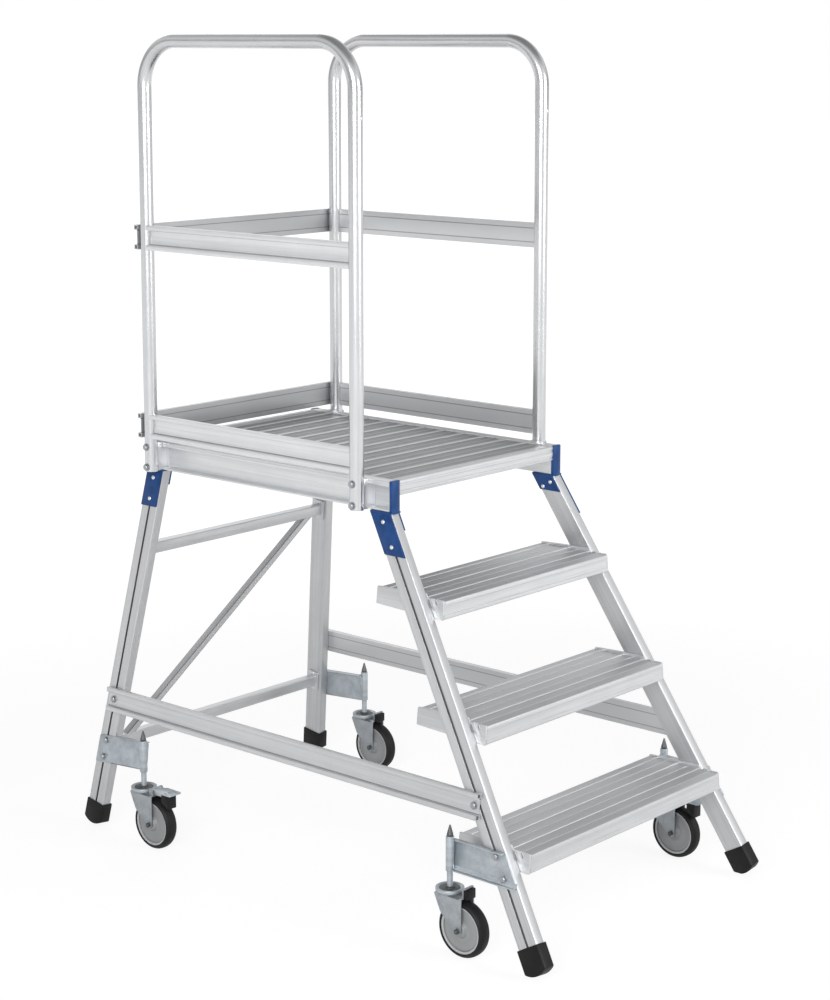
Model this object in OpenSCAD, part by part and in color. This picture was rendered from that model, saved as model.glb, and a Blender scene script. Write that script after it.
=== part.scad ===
/* [Stance] */
// Height from one tread to the next
rise = 240; // [210:5:270]
// Gap under the rubber soles while the sprung castors carry the step
lift = 10; // [4:1:16]
// Outward splay of the legs, in degrees
splay = 6.6; // [4:0.1:8]
// Lean of the front stiles from upright, in degrees
front_lean = 30.7; // [24:0.1:34]
// Lean of the rear legs from upright, in degrees
rear_lean = 9.2; // [5:0.1:14]

/* [Legs] */
// Width of the leg profile, along the side of the step
leg_w = 52; // [44:1:60]
// Thickness of the leg profile, across the step
leg_t = 25; // [20:1:30]
// Wall of the leg profile
leg_wall = 2.2; // [1.8:0.1:3]
// Width of the groove down the outer face
groove_w = 6; // [4:0.5:10]
// Depth of the groove down the outer face
groove_d = 2.5; // [1:0.5:4]
// Length of a front rubber boot along its leg
boot_l = 70; // [50:1:80]
// Length of a rear rubber boot along its leg
rear_boot_l = 58; // [50:1:80]
// Rubber outside the leg profile
boot_wall = 3; // [2:0.5:5]
// Radius of the rounded sole
boot_r = 46; // [40:1:60]
// Rubber under the end of the leg
boot_floor = 20; // [18:1:26]

/* [Treads] */
// Depth of a tread, front to rear
tread_d = 195; // [160:5:230]
// Height of a tread's front skirt
tread_h = 42; // [32:1:50]
// Height of a tread's rear skirt
tread_rear_h = 34; // [26:1:40]
// How far a tread's front edge lies ahead of the stile's centre line
tread_ahead = 77; // [70:1:90]
// Depth of the hollow nose behind a tread's front edge
nose_d = 14; // [10:1:20]
// Bevel along a tread's upper edges
nose_bevel = 4; // [2:0.5:6]
// Plate and wall thickness of a tread
tread_wall = 3; // [2:0.5:4]
// Distance between the ridges of a tread
tread_pitch = 59; // [48:1:64]
// Distance of the last ridge's middle from a tread's rear edge
ridge_margin = 22; // [16:1:30]
// Width of a tread's ridge
ridge_w = 6; // [4:0.5:10]
// Height of the ridges on treads and planks
ridge_h = 2; // [1:0.1:3]
// Width of the fine rib between two ridges
rib_w = 3; // [2:0.5:5]
// Height of the fine rib between two ridges
rib_h = 1; // [0.5:0.1:1.5]
// Thickness of the plates at a tread's ends
end_plate_t = 4; // [3:0.5:6]
// Height of an end plate above the tread, in front of the stile
end_up_front = 3; // [2:0.5:6]
// Height of an end plate above the tread, at the stile
end_up_stile = 11; // [6:0.5:14]
// Height of an end plate above the tread, at its rear end
end_up_rear = 5; // [3:0.5:8]
// Width of the slots in an end plate beside the stile
slot_w = 4; // [3:0.5:6]
// Width of the tongue between the two slots
tongue_w = 13; // [8:1:16]
// Material left under the slots
slot_floor = 9; // [6:1:14]
// Distance between the rivets of an end plate
tread_rivet_gap = 20; // [16:1:26]

/* [Platform] */
// Length of the platform
platform_l = 790; // [700:10:900]
// How far the platform's front edge lies ahead of the stile's centre line
platform_ahead = 71; // [60:1:85]
// Half width over the side rails
rail_x = 297; // [270:1:320]
// Height of a side rail
rail_h = 68; // [60:1:80]
// Width of a side rail
rail_d = 26; // [22:1:30]
// Wall of a side rail
rail_wall = 3; // [2:0.5:4]
// Height of the hollow flange along the top of a side rail
flange_h = 13; // [11:1:16]
// Height of the flat flange along the bottom of a side rail
sill_h = 5; // [4:0.5:8]
// Width of the ledge that carries the planks
ledge_w = 15; // [10:1:20]
// Deck planks
planks = 12; // [10:1:14]
// Depth of a plank, top to bottom
plank_h = 30; // [24:1:36]
// Width of the ridge along each plank
plank_ridge_w = 10; // [6:1:14]
// Height of the front and rear cross rails
nosing_h = 34; // [28:1:40]
// Width of the front and rear cross rails
nosing_d = 12; // [10:1:16]
// How far the rear leg's centre line lies ahead of the platform's rear end, at its top
leg_inset = 34; // [30:1:44]

/* [Corner brackets] */
// Thickness of a bracket's cheeks
cheek_t = 4; // [3:0.5:5]
// Height of the outer cheek below the saddle
cheek_h = 87; // [70:1:100]
// Height of the inner cheek below the saddle
inner_cheek_h = 36; // [30:1:50]
// Thickness of the saddle between a leg and a side rail
saddle_t = 4; // [3:0.5:6]
// Thickness of the strap that caps a side rail's end
strap_t = 8; // [6:1:10]
// How far the strap stands out beyond the platform's end
strap_out = 3; // [1:0.5:4]
// Distance of the outer cheek's rivets from its upper and lower edges
cheek_rivet_in = 18; // [12:1:24]
// Distance between the rivets of the inner cheek
inner_rivet_gap = 26; // [20:1:30]

/* [Guardrail] */
// Outside diameter of the guardrail tube
tube_d = 32; // [28:1:36]
// Wall of the guardrail tube
tube_wall = 2; // [1.5:0.1:3]
// Gap between a side rail and the guardrail tube
hoop_gap = 6; // [4:0.5:10]
// Distance of the front uprights behind the platform's front edge
hoop_front = 80; // [70:1:110]
// Distance of the rear uprights ahead of the platform's rear end
hoop_rear = 44; // [40:1:60]
// Height of the hoop's centre line above the deck
hoop_h = 940; // [850:10:1050]
// Bend radius of the hoop's centre line
bend_r = 105; // [80:5:140]
// How far the uprights reach below the deck
tube_drop = 69; // [66:1:76]
// Height of the joint rivets above the deck
joint_rivet_h = 779; // [600:1:800]
// Height of the knee rail's middle above the deck
knee_h = 487; // [400:1:560]
// Height of the toe board's middle above the deck
toe_h = 40; // [36:1:60]
// Height of the board profile
board_h = 58; // [50:1:66]
// Depth of the board profile
board_d = 12; // [10:1:14]
// Height of the hollow bead along each edge of a board
bead_h = 12; // [10:1:15]
// Wall of the board profile
board_wall = 2; // [1.5:0.1:2.5]
// Distance of a side board's back outside the hoop's middle plane
board_out = 1; // [0.5:0.5:3]
// Distance between the rivets at a rear board's ends
board_rivet_gap = 16; // [12:1:20]
// Distance between the bolts at the foot of an upright
foot_bolt_gap = 48; // [44:1:52]
// Length of a foot bolt beyond the tube and the gap behind it
foot_bolt_grip = 10; // [6:1:14]
// Width of the spacer block at the foot of an upright
spacer_w = 26; // [22:1:32]

/* [Braces] */
// Height of a side brace's middle above the soles
side_brace_h = 318; // [300:1:380]
// How far a side brace stops short of the rear leg's rear edge
side_brace_short = 10; // [0:1:14]
// Height of the upper rear brace's middle above the soles
upper_brace_h = 693; // [600:1:720]
// Height of the lower rear brace's middle above the soles
lower_brace_h = 205; // [190:1:260]
// Height of a rear brace
brace_h = 28; // [24:1:36]
// Depth of a rear brace
brace_d = 20; // [16:1:24]
// Wall of a rear brace and of the diagonal
brace_wall = 2; // [1.5:0.1:3]
// Width of the plates at the ends of the rear braces
brace_plate_w = 36; // [30:1:44]
// Width and depth of the rear diagonal
diagonal_w = 18; // [14:1:22]
// Distance of the diagonal's upper end right of the middle
diagonal_top = 245; // [200:1:260]
// Distance of the diagonal's lower end left of the middle
diagonal_low = 305; // [260:1:315]

/* [Castors] */
// Wheel diameter
wheel_d = 125; // [110:1:130]
// Tyre width
tyre_w = 32; // [26:1:34]
// Thickness of the tyre
tyre_t = 10; // [9:1:16]
// Bevel of the tyre's edges
tyre_bevel = 8; // [2:0.5:8.5]
// Width of the hub between the fork's legs
hub_w = 36; // [34:1:40]
// Diameter of the hub
hub_d = 32; // [24:1:40]
// Thickness of the wheel's disc
disc_w = 22; // [10:1:26]
// Width of the wheel's rim under the tyre
rim_w = 28; // [24:1:30]
// Thickness of the wheel's rim
rim_t = 5; // [4:0.5:8]
// Axle diameter
axle_d = 10; // [8:1:12]
// Width over the corners of the axle's nuts
axle_nut_d = 18; // [16:1:22]
// Height of the axle's nuts
axle_nut_h = 6; // [4:0.5:8]
// Distance of the axle ahead of the swivel axis
trail = 40; // [38:1:48]
// Thickness of the fork plate
fork_t = 3; // [2.5:0.5:4]
// Radius of the fork's legs round the axle
fork_end_r = 9; // [8:0.5:14]
// Distance of the fork's rear corner behind the axle
fork_corner_back = 48; // [40:1:54]
// Height of the fork's rear corner above the axle
fork_corner_up = 30; // [20:1:40]
// Length of the fork's crown behind the swivel axis
crown_back = 26; // [24:1:32]
// Gap between the wheel and the fork's crown
crown_gap = 7; // [6:1:12]
// Diameter of the swivel head
head_d = 62; // [56:1:70]
// How far the lower race lies inside the swivel head's edge
race_in = 3; // [2:0.5:6]
// Height of the lower race on the crown
race_h = 3; // [2.5:0.5:8]
// Height of the swivel head's raised rim
head_rim_h = 7; // [6:0.5:9]
// Width of the swivel head's raised rim
head_rim_w = 4; // [3:0.5:6]
// Thickness of the swivel head's floor inside its rim
head_floor = 3; // [2:0.5:4]
// Height of the collar round the stem on the swivel head
collar_h = 9; // [8:1:14]
// Diameter of the collar
collar_d = 24; // [20:1:30]
// Diameter of the king pin
pin_d = 14; // [10:1:16]
// Diameter of the king pin's riveted end
pin_head_d = 22; // [18:1:26]
// Height of the king pin's riveted end
pin_head_h = 4; // [3:0.5:5]
// Diameter of the sliding stem
stem_d = 13; // [12:0.5:18]
// Diameter of the rod inside the spring
rod_d = 6; // [5:0.5:7]
// Length of the stem inside its guide at rest
stem_in = 27; // [20:1:36]
// Length of the guide tube
guide_l = 77; // [72:1:96]
// Wall of the guide tube
guide_wall = 2.5; // [2:0.5:4]
// Thickness of the guide tube's cap
cap_t = 6; // [4:1:8]
// Diameter of the pointed nut on the rod
tip_d = 14; // [12:0.5:18]
// Height of the pointed nut's straight foot
tip_foot = 4; // [2:0.5:6]
// Height of the pointed nut
tip_h = 24; // [16:1:30]
// Diameter of the pointed nut's end
tip_end_d = 3; // [1:0.5:6]
// Room left over the swivel head when the castor is pushed right up
head_room = 23; // [10:1:26]
// Distance of the front swivel axes behind the stile's centre line
reach_front = 128; // [126:1:150]
// Distance of the rear swivel axes ahead of the rear leg's centre line
reach_rear = 150; // [148:1:170]
// Distance of the swivel axes outside the leg's outer face
castor_out = 13; // [12:0.5:15]
// Height of a castor bracket
bracket_h = 68; // [58:1:74]
// Plate thickness of a castor bracket
bracket_t = 3; // [2:0.5:4]
// Width of a castor bracket's folded edges
fold_w = 14; // [10:1:16]
// Distance of a bracket's lower bolt from its lower edge
bracket_bolt_low = 14; // [13:1:24]
// Distance of a bracket's upper bolt from its upper edge
bracket_bolt_high = 12; // [12:1:18]
// How much lower a rear castor bracket lies on its leg than at its guide tube
bracket_drop = 12; // [0:1:16]
// Turns of the spring
spring_turns = 8; // [6:1:10]
// Wire diameter of the spring
wire_d = 1.6; // [1.2:0.1:2]

/* [Brakes] */
// Reach of the brake pedal from the swivel axis
pedal_reach = 112; // [106:1:122]
// Width of the brake pedal
pedal_w = 40; // [32:1:44]
// Thickness of the brake pedal
pedal_t = 3; // [2:0.5:4]
// Depth of the flanges under the pedal's edges
pedal_flange = 8; // [5:0.5:8.5]
// Length of the pedal's narrow neck
pedal_neck = 14; // [12:1:20]
// Turn of the brake pedal from free to braked, in degrees
pedal_turn = 10; // [6:1:12]
// Distance of the pedal's pin ahead of the axle
pivot_ahead = 3; // [2:0.5:6]
// Height of the pedal's pin above the crown
pivot_up = 11; // [9:0.5:14]
// Diameter of the pedal's pin
pivot_d = 6; // [5:0.5:7]
// Diameter of the pedal's knuckle
knuckle_d = 12; // [10:0.5:14]
// Half width between the ears that hold the pin
ear_x = 14; // [12:0.5:14.5]
// Thickness of an ear
ear_t = 4; // [3:0.5:4]
// Distance of the brake block's rear face ahead of the axle
block_rear = 36; // [28:1:38]
// Distance of the brake block's front face behind the pedal's tip
block_front = 14; // [10:1:20]
// Depth of the brake block below the crown
block_drop = 22; // [16:1:28]
// Length of the stop block on a castor without a brake
stop_l = 11; // [8:1:20]
// Height of the stop block
stop_h = 22; // [16:1:26]
// Thickness of the tab over the stop block
tab_t = 3; // [2:0.5:4]

/* [Fasteners] */
// Bolt shank diameter
bolt_d = 8; // [6:1:8]
// Bolt head width across the flats
bolt_af = 13; // [10:1:14]
// Bolt head height
bolt_head_h = 5.5; // [4:0.5:7]
// Rivet shank diameter
rivet_d = 5; // [4:0.5:6]
// Rivet head diameter
rivet_head_d = 10; // [8:0.5:12]
// Diameter of a rivet head's flat top
rivet_top_d = 6; // [4:0.5:7]
// Rivet head height
rivet_head_h = 2.4; // [1.5:0.1:3]

/* [Clearances] */
// Gap between fixed pieces that bear on each other
fit = 0.15; // [0.1:0.05:0.3]
// Radial gap of a turning or sliding fit
run = 0.05; // [0.02:0.01:0.1]
// Gap between flat faces that turn past each other
slip = 0.4; // [0.3:0.1:0.8]
// Gap between the hub and the fork's legs
hub_gap = 1; // [0.5:0.1:2]
// How far the leg's outer face lies outside the side rail, at the saddle
leg_step = 0.3; // [0:0.1:2]

/* [Hidden] */
$fn = 48;
rises = 4;
over = 1;
far = 3000;
drill_out = 20;
deck_z = lift + rises * rise;
rail_in = rail_x - rail_d;
rail_z = deck_z - rail_h;
saddle_z = rail_z - saddle_t;
side_x = rail_x + leg_step + (saddle_z - lift) * tan(splay);
stile_turn = atan(tan(front_lean) * cos(splay));
rear_turn = atan(tan(rear_lean) * cos(splay));
stile_half = leg_w / 2 / cos(stile_turn);
rear_half = leg_w / 2 / cos(rear_turn);
platform_y0 = stile_y(deck_z) - platform_ahead;
platform_y1 = platform_y0 + platform_l;
rear_sole_y = platform_y1 - leg_inset + tan(rear_lean) * (saddle_z - lift);
boot_half = leg_w / 2 + boot_wall;
boot_side = sqrt(boot_r * boot_r - boot_half * boot_half);
y_mid = (rear_sole_y + boot_throw(rear_turn) - boot_throw(stile_turn)) / 2;
plank_pitch = (platform_l - 2 * nosing_d) / planks;
tube_r = tube_d / 2;
hoop_x = rail_x + hoop_gap + tube_r;
hoop_y0 = platform_y0 + hoop_front;
hoop_y1 = platform_y1 - hoop_rear;
foot_bolt_z = deck_z - rail_h / 2;
brace_rivet_up = brace_h / 2 + rivet_head_d / 2 + over;
wheel_r = wheel_d / 2;
axle_z = wheel_r;
tyre_in = wheel_r - tyre_t;
crown_z = wheel_d + crown_gap;
crown_top = crown_z + fork_t;
crown_front = -trail - fork_end_r;
crown_rear = crown_back;
race_z = crown_top + race_h;
head_z = race_z + slip;
neck_z = head_z + collar_h;
guide_z = neck_z + lift + head_room;
guide_top = guide_z + guide_l;
guide_r = stem_d / 2 + run + guide_wall;
shoulder_z = guide_z + stem_in;
bracket_mid = guide_z + bracket_h / 2;
castor_x = face_x(bracket_mid) + castor_out;
castor_y0 = stile_y(bracket_mid) + reach_front;
castor_y1 = rear_y(bracket_mid) - reach_rear;
fork_x = hub_w / 2 + hub_gap;
fork_half = fork_x + fork_t;
pivot_y = -trail - pivot_ahead;
pivot_z = crown_top + pivot_up;

function stile_y(z) = tan(front_lean) * (z - lift);
function rear_y(z) = rear_sole_y - tan(rear_lean) * (z - lift);
function face_x(z) = side_x - (z - lift) * tan(splay);
function tread_z(level) = lift + level * rise;
// Distances along a leg's outer face, along a stile and along a rear leg, of a height above the floor
function up_side(z) = (z - lift) / cos(splay);
function up_stile(z) = up_side(z) / cos(stile_turn);
function up_rear(z) = up_side(z) / cos(rear_turn);
// Distance along a rear leg of a rear brace's end, on the leg's inner face
function up_brace(height) = up_rear(lift + height + (leg_t + end_plate_t) * sin(splay));
// Centre of a boot's rounded sole along its leg, and how far the sole reaches past the leg's foot
function boot_centre(turn) = (boot_r + leg_t / 2 * tan(splay)) / cos(turn);
function boot_throw(turn) = boot_half * cos(turn) + (boot_side - boot_centre(turn)) * sin(turn);

// Frames of reference: the whole step, one side, one leg, one castor
module placed() translate([0, -y_mid, 0]) children();

module hand(side) {
    if (side > 0) children();
    else mirror([1, 0, 0]) children();
}

module both() {
    hand(1) children();
    hand(-1) children();
}

module on_side() translate([side_x, 0, lift]) rotate([0, -splay, 0]) children();

module on_stile() on_side() rotate([-stile_turn, 0, 0]) children();

module on_rear_leg() on_side() translate([0, rear_sole_y, 0]) rotate([rear_turn, 0, 0]) children();

module on_rear_frame() translate([0, rear_sole_y, lift]) rotate([rear_lean, 0, 0]) children();

module at_castor(side, y) hand(side) translate([castor_x, y, 0]) children();

// Everything between two heights, as a cutting block
module slab(low, high) translate([-far, -far, low]) cube([2 * far, 2 * far, high - low]);

// Everything outside the legs' inner faces less a margin, as a cutting block on both sides
module beyond_legs(margin) {
    both() on_side() translate([-leg_t - margin, -far, -far]) cube([far, 2 * far, 2 * far]);
}

// An outline in depth and height, extruded across the step, or a section running along its length
module across(length) rotate([90, 0, 90]) linear_extrude(length, center = true) children();

module plate_x(thickness) rotate([90, 0, 90]) linear_extrude(thickness) children();

// Fasteners: each lies along X with its head outside x = 0, and is drilled with the same values
module rod_x(d, reach, out) translate([-reach, 0, 0]) rotate([0, 90, 0]) cylinder(d = d, h = reach + out);

module drill(d, reach) rod_x(d + 2 * fit, reach, drill_out);

module bolt(reach) {
    rotate([0, 90, 0]) cylinder(d = bolt_af / cos(30), h = bolt_head_h, $fn = 6);
    rod_x(bolt_d, reach, over);
}

module rivet(reach) {
    rotate([0, 90, 0]) cylinder(d1 = rivet_head_d, d2 = rivet_top_d, h = rivet_head_h);
    rod_x(rivet_d, reach, over);
}

// Places of the fasteners, on the right-hand side
module on_both_legs(z) {
    on_stile() translate([0, 0, up_stile(z)]) children();
    on_rear_leg() translate([0, 0, up_rear(z)]) children();
}

module at_brace_bolts() {
    s = up_side(lift + side_brace_h);
    on_side() translate([0, tan(stile_turn) * s + stile_half / 2, s]) children();
    on_side() translate([0, rear_sole_y - tan(rear_turn) * s, s]) children();
}

module at_bracket_bolts() {
    for (up = [bracket_bolt_low, bracket_h - bracket_bolt_high]) {
        on_stile() translate([0, 0, up_stile(guide_z + up)]) children();
        on_rear_leg() translate([0, 0, up_rear(guide_z + up - bracket_drop)]) children();
    }
}

module at_cheek_rivets() {
    on_both_legs(saddle_z - cheek_rivet_in) children();
    on_both_legs(saddle_z - cheek_h + cheek_rivet_in) children();
}

module at_inner_rivets() {
    for (y = [-inner_rivet_gap / 2, inner_rivet_gap / 2])
        on_both_legs(saddle_z - inner_cheek_h / 2)
            translate([-leg_t - fit - cheek_t, y, 0]) rotate([0, 180, 0]) children();
}

module at_foot_bolts() {
    for (y = [hoop_y0, hoop_y1], up = [-1, 1])
        translate([hoop_x + tube_r, y, foot_bolt_z + up * foot_bolt_gap / 2]) children();
}

module at_joint_rivets() {
    translate([hoop_x, hoop_y0 - tube_r, deck_z + joint_rivet_h]) rotate([0, 0, -90]) children();
    translate([hoop_x, hoop_y1 + tube_r, deck_z + joint_rivet_h]) rotate([0, 0, 90]) children();
}

module at_board_rivets() {
    for (z = [knee_h, toe_h], up = [-1, 1])
        translate([hoop_x, hoop_y1 + tube_r + fit + board_wall, deck_z + z + up * board_rivet_gap / 2])
            rotate([0, 0, 90]) children();
}

module at_tread_rivets() {
    for (level = [1 : rises - 1], y = [-tread_rivet_gap / 2, tread_rivet_gap / 2])
        on_stile() translate([-leg_t - end_plate_t - fit, y, up_stile(tread_z(level) - tread_h / 2)])
            rotate([0, 180, 0]) children();
}

module at_brace_rivets() {
    for (height = [upper_brace_h, lower_brace_h], up = [-1, 1])
        on_rear_leg() translate([-leg_t - end_plate_t - fit, 0, up_brace(height) + up * brace_rivet_up])
            rotate([0, 180, 0]) children();
}

// Front stiles and rear legs: one grooved hollow profile, cut level under the saddle
module leg_section() {
    difference() {
        translate([-leg_t, -leg_w / 2]) square([leg_t, leg_w]);
        translate([-groove_d, -groove_w / 2]) square([groove_d + over, groove_w]);
        translate([leg_wall - leg_t, leg_wall - leg_w / 2])
            square([leg_t - 2 * leg_wall - groove_d, leg_w - 2 * leg_wall]);
    }
}

module leg_bar() translate([0, 0, boot_floor]) linear_extrude(2 * rises * rise) leg_section();

module stile() {
    color("gainsboro") difference() {
        on_stile() leg_bar();
        slab(saddle_z - fit, far);
        at_brace_bolts() drill(bolt_d, leg_t / 2);
        at_bracket_bolts() drill(bolt_d, leg_t / 2);
        at_cheek_rivets() drill(rivet_d, leg_t / 2);
        at_inner_rivets() drill(rivet_d, leg_t / 2);
        at_tread_rivets() drill(rivet_d, leg_t / 2);
    }
}

module rear_leg() {
    color("gainsboro") difference() {
        on_rear_leg() leg_bar();
        slab(saddle_z - fit, far);
        at_brace_bolts() drill(bolt_d, leg_t / 2);
        at_bracket_bolts() drill(bolt_d, leg_t / 2);
        at_cheek_rivets() drill(rivet_d, leg_t / 2);
        at_inner_rivets() drill(rivet_d, leg_t / 2);
        at_brace_rivets() drill(rivet_d, leg_t / 2);
    }
}

// Rubber boots: a cap over the leg's end, with a sole rounded front to rear and cut level
module boot(turn, length) {
    difference() {
        intersection() {
            translate([-leg_t - boot_wall, -boot_half, -length])
                cube([leg_t + 2 * boot_wall, 2 * boot_half, 2 * length]);
            union() {
                translate([-far / 2, -far / 2, boot_centre(turn)]) cube(far);
                translate([-leg_t - 2 * boot_wall, 0, boot_centre(turn)])
                    rotate([0, 90, 0]) cylinder(r = boot_r, h = leg_t + 4 * boot_wall);
            }
        }
        translate([-leg_t - fit, -leg_w / 2 - fit, boot_floor - fit])
            cube([leg_t + 2 * fit, leg_w + 2 * fit, 2 * length]);
    }
}

module rubber_boots() {
    color("#1c1c1e") difference() {
        both() {
            on_stile() boot(stile_turn, boot_l);
            on_rear_leg() boot(rear_turn, rear_boot_l);
        }
        slab(-far, lift);
    }
}

// Treads: a ridged plate with a hollow nose in front and a skirt behind
module tread_section() {
    last = tread_d - ridge_margin;
    difference() {
        union() {
            translate([0, -tread_wall - ridge_h]) square([tread_d, tread_wall]);
            translate([0, -tread_h]) square([nose_d, tread_h - ridge_h]);
            translate([tread_d - tread_wall, -tread_rear_h]) square([tread_wall, tread_rear_h - ridge_h]);
            for (y = [last : -tread_pitch : nose_d])
                translate([y - ridge_w / 2, -ridge_h - over]) square([ridge_w, ridge_h + over]);
            for (y = [last - tread_pitch / 2 : -tread_pitch : nose_d])
                translate([y - rib_w / 2, -ridge_h - over]) square([rib_w, rib_h + over]);
        }
        translate([tread_wall, tread_wall - tread_h])
            square([nose_d - 2 * tread_wall, tread_h - ridge_h - tread_wall - nose_bevel]);
        for (end = [[0, 1], [tread_d, -1]])
            translate([end[0], -ridge_h])
                polygon([[-over * end[1], over], [-over * end[1], -nose_bevel / 2], [0, -nose_bevel / 2],
                    [nose_bevel / 2 * end[1], 0], [nose_bevel / 2 * end[1], over]]);
    }
}

module tread(level) {
    color("silver") difference() {
        translate([0, stile_y(tread_z(level)) - tread_ahead, tread_z(level)])
            across(2 * side_x) tread_section();
        beyond_legs(end_plate_t + 2 * fit);
    }
}

module end_plate(level) {
    z = up_side(tread_z(level));
    axis = tan(stile_turn) * z;
    front = axis - tread_ahead + over;
    rear = front + tread_d - 2 * over;
    low = z - tread_h + over;
    lean = tan(stile_turn);
    step = axis - stile_half - slot_w / 2;
    difference() {
        on_side() translate([-leg_t - end_plate_t - fit, 0, 0]) plate_x(end_plate_t)
            polygon([[front, low], [front, z + end_up_front], [step + end_up_front * lean, z + end_up_front],
                [step + end_up_stile * lean, z + end_up_stile], [rear, z + end_up_rear],
                [rear, z - tread_rear_h]]);
        for (i = [0, 1])
            on_stile() translate([-2 * leg_t, -leg_w / 2 - slot_w - i * (slot_w + tongue_w),
                (low + slot_floor) / cos(stile_turn)]) cube([2 * leg_t, slot_w, 2 * tread_h]);
    }
}

module tread_end_plates() {
    color("lightgray") both() difference() {
        union() {
            for (level = [1 : rises - 1]) end_plate(level);
        }
        at_tread_rivets() drill(rivet_d, leg_t);
    }
}

// Platform: planks across two channel rails, between a front and a rear cross rail
module plank_section() {
    width = plank_pitch - fit;
    skirt = plank_h - ridge_h;
    difference() {
        union() {
            translate([0, -plank_h]) square([width, skirt]);
            translate([0, -ridge_h - over]) square([plank_ridge_w, ridge_h + over]);
            translate([(width + plank_ridge_w - rib_w) / 2, -ridge_h - over]) square([rib_w, rib_h + over]);
        }
        translate([tread_wall, -plank_h - over]) square([width - 2 * tread_wall, skirt - tread_wall + over]);
    }
}

module deck_planks() {
    color("darkgray") for (i = [0 : planks - 1])
        translate([0, platform_y0 + nosing_d + fit / 2 + i * plank_pitch, deck_z])
            across(2 * (rail_in - fit)) plank_section();
}

module rail_section() {
    difference() {
        union() {
            square([rail_wall, rail_h]);
            translate([0, rail_h - flange_h]) square([rail_d, flange_h]);
            square([rail_d, sill_h]);
        }
        translate([rail_wall, rail_h - flange_h + rail_wall])
            square([rail_d - 2 * rail_wall, flange_h - 2 * rail_wall]);
    }
}

module side_rail() {
    end_y = platform_y1 + strap_out - strap_t - fit;
    color("gainsboro") difference() {
        union() {
            translate([rail_in, end_y, rail_z]) rotate([90, 0, 0])
                linear_extrude(platform_l - 2 * (strap_t - strap_out + fit)) rail_section();
            translate([rail_in - ledge_w, platform_y0 + nosing_d + fit, deck_z - plank_h - rail_wall - fit])
                cube([ledge_w + over, platform_l - 2 * (nosing_d + fit), rail_wall]);
        }
        at_foot_bolts() drill(bolt_d, tube_d + hoop_gap + foot_bolt_grip + over);
    }
}

module cross_rail(y) {
    color("gainsboro") translate([0, y, deck_z]) across(2 * (rail_in - fit)) difference() {
        translate([0, -nosing_h]) square([nosing_d, nosing_h]);
        translate([tread_wall, tread_wall - nosing_h])
            square([nosing_d - 2 * tread_wall, nosing_h - 2 * tread_wall]);
    }
}

// Corner brackets: cheeks on both faces of a leg, a saddle over it and a strap up the rail's end
module cheek_pair() {
    for (x = [fit, -leg_t - fit - cheek_t])
        translate([x, -leg_w / 2, 0]) cube([cheek_t, leg_w, 2 * rises * rise]);
}

module corner_bracket(front) {
    leg_y = front ? stile_y(saddle_z) : rear_y(saddle_z);
    half = front ? stile_half : rear_half;
    end_y = front ? platform_y0 - strap_out : platform_y1 + strap_out - strap_t;
    low_y = min(end_y, leg_y - half);
    high_y = max(end_y + strap_t, leg_y + half);
    inner_x = min(rail_in, face_x(saddle_z) - (leg_t + fit + cheek_t) / cos(splay));
    outer_x = max(rail_x, face_x(saddle_z) + (fit + cheek_t) / cos(splay));
    color("#2a5596") difference() {
        union() {
            intersection() {
                if (front) on_stile() cheek_pair();
                else on_rear_leg() cheek_pair();
                union() {
                    slab(saddle_z - inner_cheek_h, saddle_z + saddle_t / 2);
                    translate([face_x(saddle_z) - leg_t / 2, -far, saddle_z - cheek_h])
                        cube([far, 2 * far, cheek_h]);
                }
            }
            translate([inner_x, low_y, saddle_z]) cube([outer_x - inner_x, high_y - low_y, saddle_t - fit]);
            translate([rail_in, end_y, saddle_z]) cube([rail_d, strap_t, deck_z - saddle_z + over]);
        }
        at_cheek_rivets() drill(rivet_d, leg_t / 2);
        at_inner_rivets() drill(rivet_d, leg_t / 2);
    }
}

// Boards: a web with a hollow bead along each edge, its beads standing outwards
module board_section() {
    difference() {
        union() {
            translate([0, -board_h / 2]) square([board_wall, board_h]);
            for (y = [-board_h / 2, board_h / 2 - bead_h]) translate([0, y]) square([board_d, bead_h]);
        }
        for (y = [-board_h / 2, board_h / 2 - bead_h])
            translate([board_wall, y + board_wall])
                square([board_d - 2 * board_wall, bead_h - 2 * board_wall]);
    }
}

module side_board(height) {
    color("gainsboro") difference() {
        translate([hoop_x + board_out, hoop_y1, deck_z + height]) rotate([90, 0, 0])
            linear_extrude(hoop_y1 - hoop_y0) board_section();
        for (y = [hoop_y0, hoop_y1])
            translate([hoop_x, y, deck_z + height - board_h]) cylinder(r = tube_r + fit, h = 2 * board_h);
    }
}

module rear_board(height) {
    color("gainsboro") difference() {
        translate([0, hoop_y1 + tube_r + fit, deck_z + height]) across(2 * (hoop_x + tube_r)) board_section();
        both() at_board_rivets() drill(rivet_d, board_d);
    }
}

module side_brace() {
    s = up_side(lift + side_brace_h);
    front_y = tan(stile_turn) * s;
    rear_end = rear_sole_y - tan(rear_turn) * s + rear_half - side_brace_short;
    color("gainsboro") difference() {
        on_side() translate([fit, rear_end, s]) rotate([90, 0, 0])
            linear_extrude(rear_end - front_y) board_section();
        at_brace_bolts() drill(bolt_d, board_d);
    }
}

// Rear frame: two hollow cross braces with end plates, and a diagonal between them
module brace_block(height, wall) {
    on_rear_frame() translate([-far, wall - brace_d / 2, height / cos(rear_lean) + wall - brace_h / 2])
        cube([2 * far, brace_d - 2 * wall, brace_h - 2 * wall]);
}

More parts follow.
